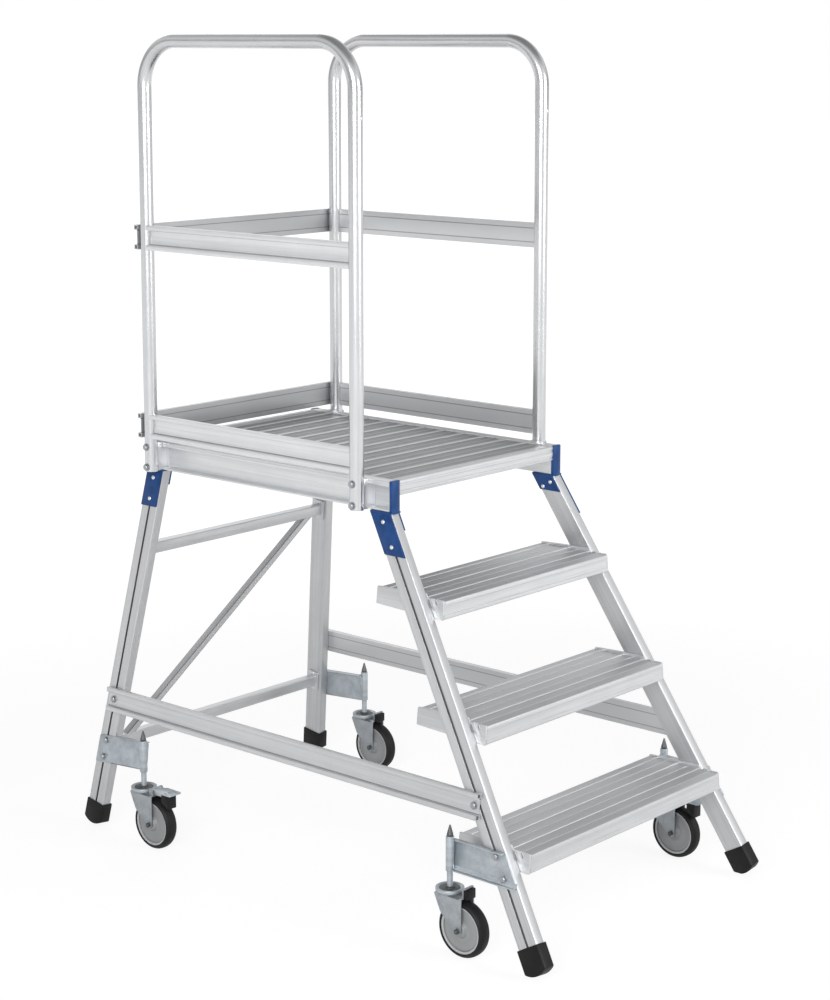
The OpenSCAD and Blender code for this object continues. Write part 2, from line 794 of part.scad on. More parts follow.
module rear_brace(height) {
    plate_h = 2 * brace_rivet_up + rivet_head_d + 2 * over;
    color("silver") difference() {
        union() {
            difference() {
                brace_block(height, 0);
                brace_block(height, brace_wall);
                beyond_legs(fit + end_plate_t / 2);
            }
            both() on_rear_leg() translate([-leg_t - fit - end_plate_t, -brace_plate_w / 2,
                up_brace(height) - plate_h / 2]) cube([end_plate_t, brace_plate_w, plate_h]);
        }
        both() at_brace_rivets() drill(rivet_d, leg_t / 2);
    }
}

module diagonal_bar(wall) {
    low_z = (lower_brace_h / cos(rear_lean)) + brace_h / 2;
    high_z = (upper_brace_h / cos(rear_lean)) - brace_h / 2;
    slope = atan2(high_z - low_z, diagonal_top + diagonal_low);
    size = diagonal_w - 2 * wall;
    on_rear_frame() translate([(diagonal_top - diagonal_low) / 2, 0, (low_z + high_z) / 2])
        rotate([0, -slope, 0]) cube([far, size, size], center = true);
}

module rear_diagonal() {
    color("silver") difference() {
        diagonal_bar(0);
        diagonal_bar(brace_wall);
        on_rear_frame() slab(upper_brace_h / cos(rear_lean) - brace_h / 2 - fit, far);
        on_rear_frame() slab(-far, lower_brace_h / cos(rear_lean) + brace_h / 2 + fit);
    }
}

// Guardrail hoop: one bent tube, drilled at its feet and near the bends
module hoop_path(r) {
    bend_z = deck_z + hoop_h - bend_r;
    for (y = [hoop_y0, hoop_y1])
        translate([hoop_x, y, deck_z - tube_drop]) cylinder(r = r, h = hoop_h + tube_drop - bend_r);
    translate([hoop_x, hoop_y0 + bend_r, deck_z + hoop_h]) rotate([-90, 0, 0])
        cylinder(r = r, h = hoop_y1 - hoop_y0 - 2 * bend_r);
    translate([hoop_x, hoop_y0 + bend_r, bend_z]) rotate([0, -90, 0]) rotate([0, 0, -90])
        rotate_extrude(angle = 90) translate([bend_r, 0]) circle(r = r);
    translate([hoop_x, hoop_y1 - bend_r, bend_z]) rotate([0, -90, 0])
        rotate_extrude(angle = 90) translate([bend_r, 0]) circle(r = r);
}

module hoop() {
    color("whitesmoke") difference() {
        hoop_path(tube_r);
        hoop_path(tube_r - tube_wall);
        for (y = [hoop_y0, hoop_y1])
            translate([hoop_x, y, deck_z - tube_drop - over]) cylinder(r = tube_r - tube_wall, h = 2 * over);
        at_foot_bolts() drill(bolt_d, tube_d + over);
        at_joint_rivets() drill(rivet_d, tube_r / 2);
        at_board_rivets() drill(rivet_d, tube_r / 2);
    }
}

// Spacer blocks: each fills the rail's channel behind an upright and is hollowed to the tube
module upright_spacers() {
    inside_h = rail_h - sill_h - flange_h - 2 * fit;
    color("gray") both() difference() {
        for (y = [hoop_y0, hoop_y1]) {
            translate([rail_in + rail_wall + fit, y - spacer_w / 2, rail_z + sill_h + fit])
                cube([rail_d - rail_wall + over, spacer_w, inside_h]);
            translate([rail_x + fit, y - spacer_w / 2, rail_z])
                cube([hoop_gap + tube_r, spacer_w, rail_h - over]);
        }
        for (y = [hoop_y0, hoop_y1])
            translate([hoop_x, y, rail_z - over]) cylinder(r = tube_r + fit, h = rail_h + 2 * over);
        at_foot_bolts() drill(bolt_d, tube_d + hoop_gap + foot_bolt_grip + over);
    }
}

module bolts() {
    color("#8d9196") both() {
        at_foot_bolts() translate([fit, 0, 0]) bolt(tube_d + hoop_gap + foot_bolt_grip);
        at_brace_bolts() translate([board_wall + 2 * fit, 0, 0]) bolt(board_wall + leg_t / 4);
        at_bracket_bolts() translate([bracket_t + 2 * fit, 0, 0]) bolt(bracket_t + leg_t / 4);
    }
}

module rivets() {
    color("#c9ccd0") both() {
        at_cheek_rivets() translate([cheek_t + 2 * fit, 0, 0]) rivet(cheek_t + leg_t / 4);
        at_inner_rivets() translate([fit, 0, 0]) rivet(cheek_t + leg_wall + over);
        at_joint_rivets() translate([fit, 0, 0]) rivet(tube_wall + over);
        at_board_rivets() translate([fit, 0, 0]) rivet(board_wall + tube_wall + over);
        at_tread_rivets() translate([fit, 0, 0]) rivet(end_plate_t + leg_wall + over);
        at_brace_rivets() translate([fit, 0, 0]) rivet(end_plate_t + leg_wall + over);
    }
}

// Castor brackets: a channel-shaped plate bolted on a leg, carrying the upright guide tube.
// Its folded edges stand outwards, or inwards between the leg and the guide tube.
function leg_edge(front, s, ahead) = front
    ? tan(stile_turn) * s + ahead * stile_half
    : rear_sole_y - tan(rear_turn) * s - ahead * rear_half;

module bracket_plate(front, outward) {
    stem_y = front ? castor_y0 : castor_y1;
    slope = front ? 0 : bracket_drop / reach_rear;
    low = up_side(guide_z);
    high = low + bracket_h;
    far_low = leg_edge(front, low, -1);
    far_high = leg_edge(front, high, -1);
    on_side() translate([fit, 0, 0]) {
        plate_x(bracket_t) polygon([[far_low, low - (far_low - stem_y) * slope],
            [far_high, high - (far_high - stem_y) * slope], [stem_y, high], [stem_y, low]]);
        for (s = [low, high - bracket_t]) {
            start = leg_edge(front, s, outward ? -1 : 1) + (front ? 1 : -1) * bracket_t;
            fall = (start - stem_y) * slope;
            translate([outward ? 0 : bracket_t - fold_w, 0, 0]) plate_x(fold_w) polygon([[start, s - fall],
                [stem_y, s], [stem_y, s + bracket_t], [start, s - fall + bracket_t]]);
        }
        translate([0, stem_y - bracket_t / 2, low + bracket_t / 2])
            cube([castor_out, bracket_t, bracket_h - bracket_t]);
    }
}

module castor_bracket(front, outward) {
    y = front ? castor_y0 : castor_y1;
    color("#a9b4bd") difference() {
        union() {
            bracket_plate(front, outward);
            translate([castor_x, y, guide_z]) cylinder(r = guide_r, h = guide_l);
        }
        translate([castor_x, y, 0]) cylinder(d = stem_d + 2 * run, h = guide_top - cap_t);
        translate([castor_x, y, guide_z]) cylinder(d = rod_d + 2 * run, h = guide_l + over);
        at_bracket_bolts() drill(bolt_d, leg_t / 2);
    }
}

// Castor stem: king pin, swivel head, sliding stem, rod through the spring and pointed nut
module stem() {
    pin_end = crown_z - slip;
    nut_z = guide_top + fit;
    color("#b9bfc4") rotate_extrude() polygon([
        [0, pin_end - pin_head_h], [pin_head_d / 2, pin_end - pin_head_h], [pin_head_d / 2, pin_end],
        [pin_d / 2, pin_end], [pin_d / 2, head_z], [head_d / 2, head_z], [head_d / 2, head_z + head_rim_h],
        [head_d / 2 - head_rim_w, head_z + head_rim_h], [collar_d / 2, head_z + head_floor],
        [collar_d / 2, neck_z], [stem_d / 2, neck_z], [stem_d / 2, shoulder_z], [rod_d / 2, shoulder_z],
        [rod_d / 2, nut_z], [tip_d / 2, nut_z], [tip_d / 2, nut_z + tip_foot], [tip_end_d / 2, nut_z + tip_h],
        [0, nut_z + tip_h]]);
}

// Spring between the stem's shoulder and the guide's cap, as one wire swept up a helix
module spring() {
    sides = 6;
    rings = spring_turns * 8;
    coil_r = (stem_d + rod_d) / 4;
    low = shoulder_z + fit + wire_d / 2;
    high = guide_top - cap_t - fit - wire_d / 2;
    points = [for (i = [0 : rings], k = [0 : sides - 1])
        let (turn = 360 * i * spring_turns / rings, round = 360 * k / sides,
            out = coil_r + wire_d / 2 * cos(round), up = wire_d / 2 * sin(round))
        [out * cos(turn), out * sin(turn), low + (high - low) * i / rings + up]];
    walls = [for (i = [0 : rings - 1], k = [0 : sides - 1])
        let (a = i * sides + k, b = i * sides + (k + 1) % sides)
        each [[a, b, a + sides], [b, b + sides, a + sides]]];
    ends = [for (k = [1 : sides - 2])
        each [[0, k + 1, k], [rings * sides, rings * sides + k, rings * sides + k + 1]]];
    color("#7c8288") polyhedron(points = points, faces = concat(walls, ends));
}

// Fork: crown and lower race, two legs and the axle, with pedal ears or a stop block in front
module fork_leg() {
    axle_at = [-trail, axle_z];
    corner = [fork_corner_back, fork_corner_up];
    turn = atan2(corner[1], corner[0]) - acos(fork_end_r / norm(corner));
    tangent = axle_at + fork_end_r * [cos(turn), sin(turn)];
    polygon([[crown_rear, crown_top], [crown_front, crown_top], [crown_front, axle_z], axle_at, tangent,
        axle_at + corner]);
    translate(axle_at) circle(r = fork_end_r);
}

module pedal_ears() {
    for (x = [-ear_x - ear_t, ear_x]) translate([x, pivot_y, 0]) {
        translate([0, -knuckle_d / 2, crown_z]) cube([ear_t, knuckle_d, pivot_z - crown_z]);
        translate([0, 0, pivot_z]) rotate([0, 90, 0]) cylinder(d = knuckle_d, h = ear_t);
    }
    translate([-ear_x - over, pivot_y, pivot_z]) rotate([0, 90, 0])
        cylinder(d = pivot_d, h = 2 * (ear_x + over));
}

module stop_tab() {
    top = crown_z + stop_h;
    translate([-ear_x, crown_front, crown_z]) cube([2 * ear_x, tab_t, stop_h + tab_t]);
    translate([-ear_x, crown_front - stop_l / 2, top]) cube([2 * ear_x, stop_l / 2 + tab_t, tab_t]);
}

module stop_block() {
    front = crown_front - fit - stop_l;
    translate([-ear_x, front, crown_z]) cube([2 * ear_x, stop_l, stop_h - fit]);
}

module fork_body(braked) {
    difference() {
        union() {
            translate([-fork_half, crown_front, crown_z])
                cube([2 * fork_half, crown_rear - crown_front, fork_t]);
            for (x = [-fork_half, fork_x]) translate([x, 0, 0]) plate_x(fork_t) fork_leg();
            translate([0, 0, crown_z]) cylinder(d = head_d - 2 * race_in, h = race_z - crown_z);
            if (braked) pedal_ears();
            else stop_tab();
        }
        translate([0, 0, crown_z - over]) cylinder(d = pin_d + 2 * run, h = race_h + fork_t + 2 * over);
        translate([-fork_half - over, -trail, axle_z]) rotate([0, 90, 0])
            cylinder(d = axle_d + 2 * fit, h = 2 * (fork_half + over));
    }
}

module axle() {
    half = fork_half + fit;
    translate([-half, -trail, axle_z]) rotate([0, 90, 0]) cylinder(d = axle_d, h = 2 * half);
    for (x = [-half - axle_nut_h, half])
        translate([x, -trail, axle_z]) rotate([0, 90, 0]) cylinder(d = axle_nut_d, h = axle_nut_h, $fn = 6);
}

module fork(braked) {
    color("#b3bac0") {
        fork_body(braked);
        axle();
        if (!braked) stop_block();
    }
}

// Wheel and tyre, turning on the axle
module wheel() {
    bore = axle_d / 2 + run;
    color("#9a9d9f") translate([0, -trail, axle_z]) rotate([0, 90, 0]) rotate_extrude() {
        translate([bore, -hub_w / 2]) square([hub_d / 2 - bore, hub_w]);
        translate([bore, -disc_w / 2]) square([tyre_in - bore - fit, disc_w]);
        translate([tyre_in - rim_t, -rim_w / 2]) square([rim_t - fit, rim_w]);
    }
}

module tyre() {
    half = tyre_w / 2;
    color("#232325") translate([0, -trail, axle_z]) rotate([0, 90, 0]) rotate_extrude() polygon([
        [tyre_in, -half], [wheel_r - tyre_bevel, -half], [wheel_r, tyre_bevel - half],
        [wheel_r, half - tyre_bevel], [wheel_r - tyre_bevel, half], [tyre_in, half]]);
}

// Brake: a pedal on a knuckle over the fork's pin, with a block that meets the tyre when pressed
module pedal() {
    half = ear_x - slip;
    tip = -pedal_reach - pivot_y;
    wide = -knuckle_d / 2 - pedal_neck;
    flange_end = fit - trail - block_rear - pivot_y;
    difference() {
        union() {
            for (x = [-half, half - pedal_t]) translate([x, flange_end, -pedal_flange])
                cube([pedal_t, -knuckle_d / 4 - flange_end, pedal_flange + pedal_t / 2]);
            rotate([0, 90, 0]) cylinder(d = knuckle_d, h = 2 * half, center = true);
            linear_extrude(pedal_t) polygon([[-half, 0], [-half, wide + pedal_neck / 2], [-pedal_w / 2, wide],
                [-pedal_w / 2, tip], [pedal_w / 2, tip], [pedal_w / 2, wide], [half, wide + pedal_neck / 2],
                [half, 0]]);
        }
        rotate([0, 90, 0]) cylinder(d = pivot_d + 2 * run, h = 3 * half, center = true);
    }
}

module brake_block() {
    rear = -trail - block_rear - pivot_y;
    front = block_front - pedal_reach - pivot_y;
    low = crown_z - block_drop - pivot_z;
    wheel_at = [pivot_ahead, axle_z - pivot_z];
    wheel_turned = [wheel_at[0] * cos(pedal_turn) + wheel_at[1] * sin(pedal_turn),
        wheel_at[1] * cos(pedal_turn) - wheel_at[0] * sin(pedal_turn)];
    difference() {
        translate([-ear_x, front, low]) cube([2 * ear_x, rear - front, -fit - low]);
        translate([0, wheel_turned[0], wheel_turned[1]]) rotate([0, 90, 0])
            cylinder(r = wheel_r + slip, h = 4 * ear_x, center = true);
    }
}

module brake() {
    translate([0, pivot_y, pivot_z]) {
        color("#b3bac0") pedal();
        color("#1c1c1e") brake_block();
    }
}

placed() hand(-1) stile();  // stile_left
placed() hand(1) stile();  // stile_right
placed() hand(-1) rear_leg();  // rear_leg_left
placed() hand(1) rear_leg();  // rear_leg_right
placed() rubber_boots();
placed() tread(1);  // tread_lower
placed() tread(2);  // tread_middle
placed() tread(3);  // tread_upper
placed() tread_end_plates();
placed() deck_planks();
placed() hand(-1) side_rail();  // side_rail_left
placed() hand(1) side_rail();  // side_rail_right
placed() cross_rail(platform_y0);  // front_nosing
placed() cross_rail(platform_y1 - nosing_d);  // rear_crossrail
placed() hand(-1) corner_bracket(true);  // corner_bracket_front_left
placed() hand(1) corner_bracket(true);  // corner_bracket_front_right
placed() hand(-1) corner_bracket(false);  // corner_bracket_rear_left
placed() hand(1) corner_bracket(false);  // corner_bracket_rear_right
placed() hand(-1) side_brace();  // side_brace_left
placed() hand(1) side_brace();  // side_brace_right
placed() rear_brace(upper_brace_h);  // rear_brace_upper
placed() rear_brace(lower_brace_h);  // rear_brace_lower
placed() rear_diagonal();
placed() hand(-1) hoop();  // hoop_left
placed() hand(1) hoop();  // hoop_right
placed() hand(-1) side_board(knee_h);  // knee_rail_left
placed() hand(1) side_board(knee_h);  // knee_rail_right
placed() rear_board(knee_h);  // knee_rail_rear
placed() hand(-1) side_board(toe_h);  // toe_board_left
placed() hand(1) side_board(toe_h);  // toe_board_right
placed() rear_board(toe_h);  // toe_board_rear
placed() upright_spacers();
placed() bolts();
placed() rivets();
placed() hand(-1) castor_bracket(true, true);  // castor_bracket_front_left
placed() hand(1) castor_bracket(true, false);  // castor_bracket_front_right
placed() hand(-1) castor_bracket(false, false);  // castor_bracket_rear_left
placed() hand(1) castor_bracket(false, true);  // castor_bracket_rear_right
placed() at_castor(-1, castor_y0) stem();  // stem_front_left
placed() at_castor(1, castor_y0) stem();  // stem_front_right
placed() at_castor(-1, castor_y1) stem();  // stem_rear_left
placed() at_castor(1, castor_y1) stem();  // stem_rear_right
placed() at_castor(-1, castor_y0) spring();  // spring_front_left
placed() at_castor(1, castor_y0) spring();  // spring_front_right
placed() at_castor(-1, castor_y1) spring();  // spring_rear_left
placed() at_castor(1, castor_y1) spring();  // spring_rear_right
placed() at_castor(-1, castor_y0) fork(false);  // fork_front_left
placed() at_castor(1, castor_y0) fork(true);  // fork_front_right
placed() at_castor(-1, castor_y1) fork(true);  // fork_rear_left
placed() at_castor(1, castor_y1) fork(false);  // fork_rear_right
placed() at_castor(-1, castor_y0) wheel();  // wheel_front_left
placed() at_castor(1, castor_y0) wheel();  // wheel_front_right
placed() at_castor(-1, castor_y1) wheel();  // wheel_rear_left
placed() at_castor(1, castor_y1) wheel();  // wheel_rear_right
placed() at_castor(-1, castor_y0) tyre();  // tyre_front_left
placed() at_castor(1, castor_y0) tyre();  // tyre_front_right
placed() at_castor(-1, castor_y1) tyre();  // tyre_rear_left
placed() at_castor(1, castor_y1) tyre();  // tyre_rear_right
placed() at_castor(1, castor_y0) brake();  // brake_front_right
placed() at_castor(-1, castor_y1) brake();  // brake_rear_left
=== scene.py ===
from math import acos, atan, atan2, cos, hypot, pi, radians, sin, sqrt, tan
import bmesh
import bpy
from mathutils import Matrix, Vector


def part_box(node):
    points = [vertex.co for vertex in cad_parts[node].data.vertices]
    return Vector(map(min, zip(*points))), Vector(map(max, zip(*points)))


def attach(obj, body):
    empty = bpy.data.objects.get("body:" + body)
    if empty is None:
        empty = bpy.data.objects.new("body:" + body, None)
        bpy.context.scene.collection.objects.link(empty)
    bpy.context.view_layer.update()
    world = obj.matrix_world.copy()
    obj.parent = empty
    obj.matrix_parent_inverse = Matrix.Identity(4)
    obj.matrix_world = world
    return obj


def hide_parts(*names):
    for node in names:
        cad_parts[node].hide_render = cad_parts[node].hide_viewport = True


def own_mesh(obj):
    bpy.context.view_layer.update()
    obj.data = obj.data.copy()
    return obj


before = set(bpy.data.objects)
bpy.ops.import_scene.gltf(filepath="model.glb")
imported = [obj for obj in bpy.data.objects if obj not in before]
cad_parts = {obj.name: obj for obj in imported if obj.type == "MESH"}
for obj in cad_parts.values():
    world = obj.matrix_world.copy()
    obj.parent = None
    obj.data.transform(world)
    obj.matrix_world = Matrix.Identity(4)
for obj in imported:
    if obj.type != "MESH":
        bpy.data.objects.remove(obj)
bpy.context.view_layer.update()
scene = bpy.context.scene
print("frame loaded:", len(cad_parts), "solids")

mm = 0.001
edge = {"thin": 0.6, "plate": 0.7, "thick": 0.8}  # widths of broken edges, mm


class Wire:
    # a socket of a node tree that can be added, multiplied and so on
    def __init__(self, tree, socket=None):
        self.tree, self.socket = tree, socket

    def node(self, kind, settings=None, inputs=None, out=0):
        made = self.tree.nodes.new(kind)
        for key, value in (settings or {}).items():
            setattr(made, key, value)
        for key, value in (inputs or {}).items():
            if isinstance(value, Wire):
                self.tree.links.new(value.socket, made.inputs[key])
            else:
                made.inputs[key].default_value = value
        return Wire(self.tree, made.outputs[out])

    def math(self, operation, *values):
        return self.node("ShaderNodeMath", {"operation": operation}, dict(enumerate(values)))

    def __add__(self, other):
        return self.math("ADD", self, other)

    def __sub__(self, other):
        return self.math("SUBTRACT", self, other)

    def __mul__(self, other):
        return self.math("MULTIPLY", self, other)

    def __truediv__(self, other):
        return self.math("DIVIDE", self, other)

    def __rsub__(self, other):
        return self.math("SUBTRACT", other, self)

    __radd__ = __add__
    __rmul__ = __mul__

    def into(self, socket):
        self.tree.links.new(self.socket, socket)


def newMaterial(name, fixed):
    material = bpy.data.materials.new(name)
    material.use_nodes = True
    shader = material.node_tree.nodes["Principled BSDF"]
    for key, value in fixed.items():
        shader.inputs[key].default_value = value
    return material, shader, Wire(material.node_tree)


def tint(ink, factor, low, high):
    low = low if isinstance(low, Wire) else (*low, 1)
    high = high if isinstance(high, Wire) else (*high, 1)
    return ink.node("ShaderNodeMix", {"data_type": "RGBA"}, {0: factor, 6: low, 7: high}, out=2)


def window(ink, value, low, high):
    # 0 below low, 1 above high
    return ink.node("ShaderNodeMapRange", {"interpolation_type": "SMOOTHSTEP"},
                    {"Value": value, "From Min": low, "From Max": high})


def bump(ink, height, strength, distance):
    return ink.node("ShaderNodeBump", None, {"Height": height, "Strength": strength, "Distance": distance})


def grainPlace(ink, scale=(1, 1, 1)):
    place = ink.node("ShaderNodeAttribute", {"attribute_name": "grain"}, out=1)
    return ink.node("ShaderNodeMapping", None, {"Vector": place, "Scale": scale})


def grainAxis(ink, axis):
    return ink.node("ShaderNodeSeparateXYZ", None, {"Vector": grainPlace(ink)}, out=axis)


def noise(ink, scale, detail, rough=0.5):
    # scale is one number, or three for a pattern that is drawn out
    even = isinstance(scale, float)
    place = grainPlace(ink) if even else grainPlace(ink, scale)
    return ink.node("ShaderNodeTexNoise", None, {"Vector": place, "Scale": scale if even else 1.0,
                                                 "Detail": detail, "Roughness": rough})


def silver(level):
    return 0.985 * level, level, 1.02 * level


# spans run from no effect to full effect; places and depths lie across the profile, in metres
drawn = {"along": 5, "wide": (90, 90, 1.2), "cloud": 7.0, "rub": (60, 60, 14), "rubSpan": (0.62, 0.78),
         "rubShare": 0.35, "lineShare": 0.42, "wideShare": 0.33, "cloudShare": 0.25, "shadeSpan": (0.3, 0.7),
         "lineRough": 0.16, "cloudRough": 0.12, "rubShine": 0.06, "lineBump": 0.6, "wideBump": 0.4,
         "bumpDepth": 0.0006, "valleyTop": (-0.0016, -0.0007), "valleyFloor": (-0.0034, -0.0026),
         "valleyShare": 0.75, "valleyCloud": 0.5, "backDepth": (0.0002, 0.0008), "creaseAt": 0.0165,
         "creaseSpan": (0.0006, 0.0016), "creaseDepth": (0.003, 0.004), "creaseShare": 0.8,
         "grooveHalf": (0.0028, 0.0034), "grooveTop": (-0.0016, -0.0006), "grooveFloor": (-0.008, -0.006),
         "cornerSpan": (0.0066, 0.0074)}


def drawnAluminium(name, shades, metallic=0.75, lines=560, rough=0.38, relief=0.16, **marks):
    # mill finish: die lines run along the profile, faint clouding and a few rub marks
    d = drawn
    dark, light, rubbed = (silver(level) for level in shades)
    material, shader, ink = newMaterial(name, {"Metallic": metallic})
    fine = noise(ink, (lines, lines, d["along"]), 2.0, 0.6)
    wide = noise(ink, d["wide"], 2.0)
    cloud = noise(ink, d["cloud"], 4.0, 0.6)
    rub = window(ink, noise(ink, d["rub"], 5.0, 0.7), *d["rubSpan"])
    shade = d["lineShare"] * fine + d["wideShare"] * wide + d["cloudShare"] * cloud
    colour = tint(ink, window(ink, shade, *d["shadeSpan"]), dark, light)
    colour = tint(ink, rub * d["rubShare"], colour, rubbed)
    if marks:
        depth, height = grainAxis(ink, 0), grainAxis(ink, 1)
        across = ink.math("ABSOLUTE", height)
    if "valley" in marks:
        # the sunk flats between the ridges are painted darker: painted shade
        sunk = (1 - window(ink, height, *d["valleyTop"])) * window(ink, height, *d["valleyFloor"])
        valleyPaintedShade = d["valleyShare"] + d["valleyCloud"] * (cloud - 0.5)
        colour = tint(ink, sunk * valleyPaintedShade, colour, silver(marks["valley"]))
    if "crease" in marks:
        # painted shade: a board's back painted darker, and painted shadow lines in the creases where its beads
        # meet the web
        colour = tint(ink, 1 - window(ink, depth, *d["backDepth"]), colour, silver(marks["back"]))
        aside = ink.math("ABSOLUTE", across - d["creaseAt"])
        crease = (1 - window(ink, aside, *d["creaseSpan"])) * (1 - window(ink, depth, *d["creaseDepth"]))
        colour = tint(ink, crease * d["creaseShare"], colour, silver(marks["crease"]))
    if "groove" in marks:
        # the groove down a leg's outer face, found by its place across the profile, painted dark: painted shade
        # in the recess
        inside = (1 - window(ink, across, *d["grooveHalf"])) * (1 - window(ink, depth, *d["grooveTop"]))
        colour = tint(ink, inside * window(ink, depth, *d["grooveFloor"]), colour, silver(marks["groove"]))
    if "corner" in marks:
        # the corners of a square bar, painted dark between its faces: painted shade that also dulls the
        # highlight there
        nearer = ink.math("MINIMUM", ink.math("ABSOLUTE", depth), across)
        colour = tint(ink, window(ink, nearer, *d["cornerSpan"]), colour, silver(marks["corner"]))
    colour.into(shader.inputs["Base Color"])
    dull = rough + d["lineRough"] * (fine - 0.5) + d["cloudRough"] * (cloud - 0.5) - d["rubShine"] * rub
    dull.into(shader.inputs["Roughness"])
    ripple = fine * d["lineBump"] + wide * d["wideBump"]
    bump(ink, ripple, relief, d["bumpDepth"]).into(shader.inputs["Normal"])
    return material


# other surfaces: noise as scale, detail and roughness; the rest as above
plating = {"cloud": (38.0, 5.0, 0.62), "fine": (420.0, 2.0), "patch": (22.0, 4.0, 0.7),
           "patchSpan": (0.56, 0.74), "shadeSpan": (0.32, 0.68), "fineShade": 0.3, "patchShare": 0.4,
           "cloudRough": 0.22, "fineRough": 0.1, "patchRough": 0.08, "fineBump": 0.5, "bumpDepth": 0.0004}
powder = {"cloud": (30.0, 4.0, 0.6), "fine": (650.0, 2.0), "patch": (75.0, 5.0, 0.72),
          "patchSpan": (0.60, 0.80), "shadeSpan": (0.3, 0.7), "fineShade": 0, "patchShare": 0.5,
          "cloudRough": 0.14, "fineRough": 0, "patchRough": 0.1, "fineBump": 1, "bumpDepth": 0.0005,
          "coat": 0.08, "coatWorn": 0.06, "coatRough": 0.25}
rubber = {"cloud": (34.0, 5.0, 0.65), "fine": (900.0, 2.0), "patch": ((160, 50, 90), 4.0, 0.7),
          "patchSpan": (0.58, 0.78), "shadeSpan": (0.35, 0.72), "fineShade": 0, "patchShare": 0.45,
          "cloudRough": 0.2, "fineRough": 0, "patchRough": 0.08, "fineBump": 0.6, "bumpDepth": 0.0005}
plastic = {"cloud": (55.0, 5.0, 0.6), "fine": (700.0, 2.0), "patch": (26.0, 4.0, 0.7),
           "patchSpan": (0.58, 0.8), "shadeSpan": (0.3, 0.7), "fineShade": 0, "patchShare": 0.35,
           "cloudRough": 0.15, "fineRough": 0, "patchRough": 0.12, "fineBump": 1, "bumpDepth": 0.0004,
           "ring": 0.0475, "ringSpan": (-0.0004, 0.0004), "shadeLineStart": (-0.0024, -0.0016),
           "shadeLineEnd": (-0.0008, 0), "lineShare": 0.7}


def cloudy(name, kind, dark, light, patch, rough, relief, metallic=0.0, specular=0.5, pale=None):
    # clouds between two shades, patches of a third one (stains, rubbed places, dust or dirt) and a fine grain
    material, shader, ink = newMaterial(name, {"Metallic": metallic, "Specular IOR Level": specular})
    cloud, fine = noise(ink, *kind["cloud"]), noise(ink, *kind["fine"])
    patches = window(ink, noise(ink, *kind["patch"]), *kind["patchSpan"])
    shade = (1 - kind["fineShade"]) * cloud + kind["fineShade"] * fine
    colour = tint(ink, window(ink, shade, *kind["shadeSpan"]), dark, light)
    colour = tint(ink, patches * kind["patchShare"], colour, patch)
    if "ring" in kind:
        # paler outside a ring as a painted highlight on the rim, with a painted shade line beside it
        radius, ring = grainAxis(ink, 0), kind["ring"]
        outside, start, end = (window(ink, radius, *(ring + step for step in kind[span]))
                               for span in ("ringSpan", "shadeLineStart", "shadeLineEnd"))
        colour = tint(ink, outside, colour, pale)
        colour = tint(ink, start * (1 - end) * kind["lineShare"], colour, patch)
    if "coat" in kind:
        shader.inputs["Coat Roughness"].default_value = kind["coatRough"]
        (kind["coat"] - kind["coatWorn"] * patches).into(shader.inputs["Coat Weight"])
    colour.into(shader.inputs["Base Color"])
    dull = rough + kind["cloudRough"] * (cloud - 0.5) + kind["fineRough"] * (fine - 0.5)
    (dull + kind["patchRough"] * patches).into(shader.inputs["Roughness"])
    grain = fine * kind["fineBump"] + cloud * (1 - kind["fineBump"])
    bump(ink, grain, relief, kind["bumpDepth"]).into(shader.inputs["Normal"])
    return material


# shades are the dark and light clouds and the rub marks; valley, back, crease, groove and corner are levels of
# painted shade
legFinish = drawnAluminium("leg aluminium", (0.535, 0.685, 0.75), lines=620, rough=0.40, groove=0.12)
treadFinish = drawnAluminium("tread aluminium", (0.605, 0.755, 0.82), lines=520, rough=0.42, relief=0.2,
                             valley=0.58)
deckFinish = drawnAluminium("deck aluminium", (0.56, 0.71, 0.78), lines=520, rough=0.42, relief=0.2,
                            valley=0.19)
profileFinish = drawnAluminium("profile aluminium", (0.65, 0.81, 0.86), metallic=0.72)
boardFinish = drawnAluminium("board aluminium", (0.66, 0.82, 0.87), metallic=0.72, back=0.67, crease=0.24)
# the rear boards' copy has a darker back and creases: painted shade
rearBoardShadedFinish = drawnAluminium("rear board aluminium", (0.66, 0.82, 0.87), metallic=0.72, back=0.46,
                                 crease=0.20)
braceFinish = drawnAluminium("brace aluminium", (0.585, 0.735, 0.80), back=0.65, crease=0.28)
tubeFinish = drawnAluminium("tube aluminium", (0.55, 0.69, 0.76), metallic=0.85, lines=700, rough=0.24,
                            relief=0.07)
plateFinish = drawnAluminium("plate aluminium", (0.575, 0.73, 0.80), lines=600)
diagonalFinish = drawnAluminium("diagonal aluminium", (0.56, 0.66, 0.72), metallic=0.7, lines=150, rough=0.50,
                                relief=0.02, corner=0.22)
rivetFinish = drawnAluminium("rivet aluminium", (0.71, 0.85, 0.90), metallic=0.85, lines=500, rough=0.3,
                             relief=0.08)
zincFinish = cloudy("zinc plating", plating, dark=(0.38, 0.42, 0.455), light=(0.55, 0.60, 0.64),
                    patch=(0.44, 0.43, 0.40), rough=0.33, relief=0.12, metallic=0.6)
forkFinish = cloudy("fork plating", plating, dark=(0.31, 0.335, 0.36), light=(0.45, 0.48, 0.505),
                    patch=(0.37, 0.36, 0.34), rough=0.36, relief=0.12, metallic=0.6)
boltFinish = cloudy("bolt plating", plating, dark=(0.30, 0.31, 0.33), light=(0.50, 0.52, 0.54),
                    patch=(0.36, 0.34, 0.30), rough=0.36, relief=0.1, metallic=0.85)
darkFinish = cloudy("dark fastener steel", plating, dark=(0.07, 0.072, 0.077), light=(0.14, 0.145, 0.15),
                    patch=(0.14, 0.13, 0.11), rough=0.42, relief=0.1, metallic=0.6)
springFinish = cloudy("spring wire", plating, dark=(0.30, 0.32, 0.34), light=(0.50, 0.52, 0.54),
                      patch=(0.38, 0.34, 0.28), rough=0.35, relief=0.1, metallic=0.9)
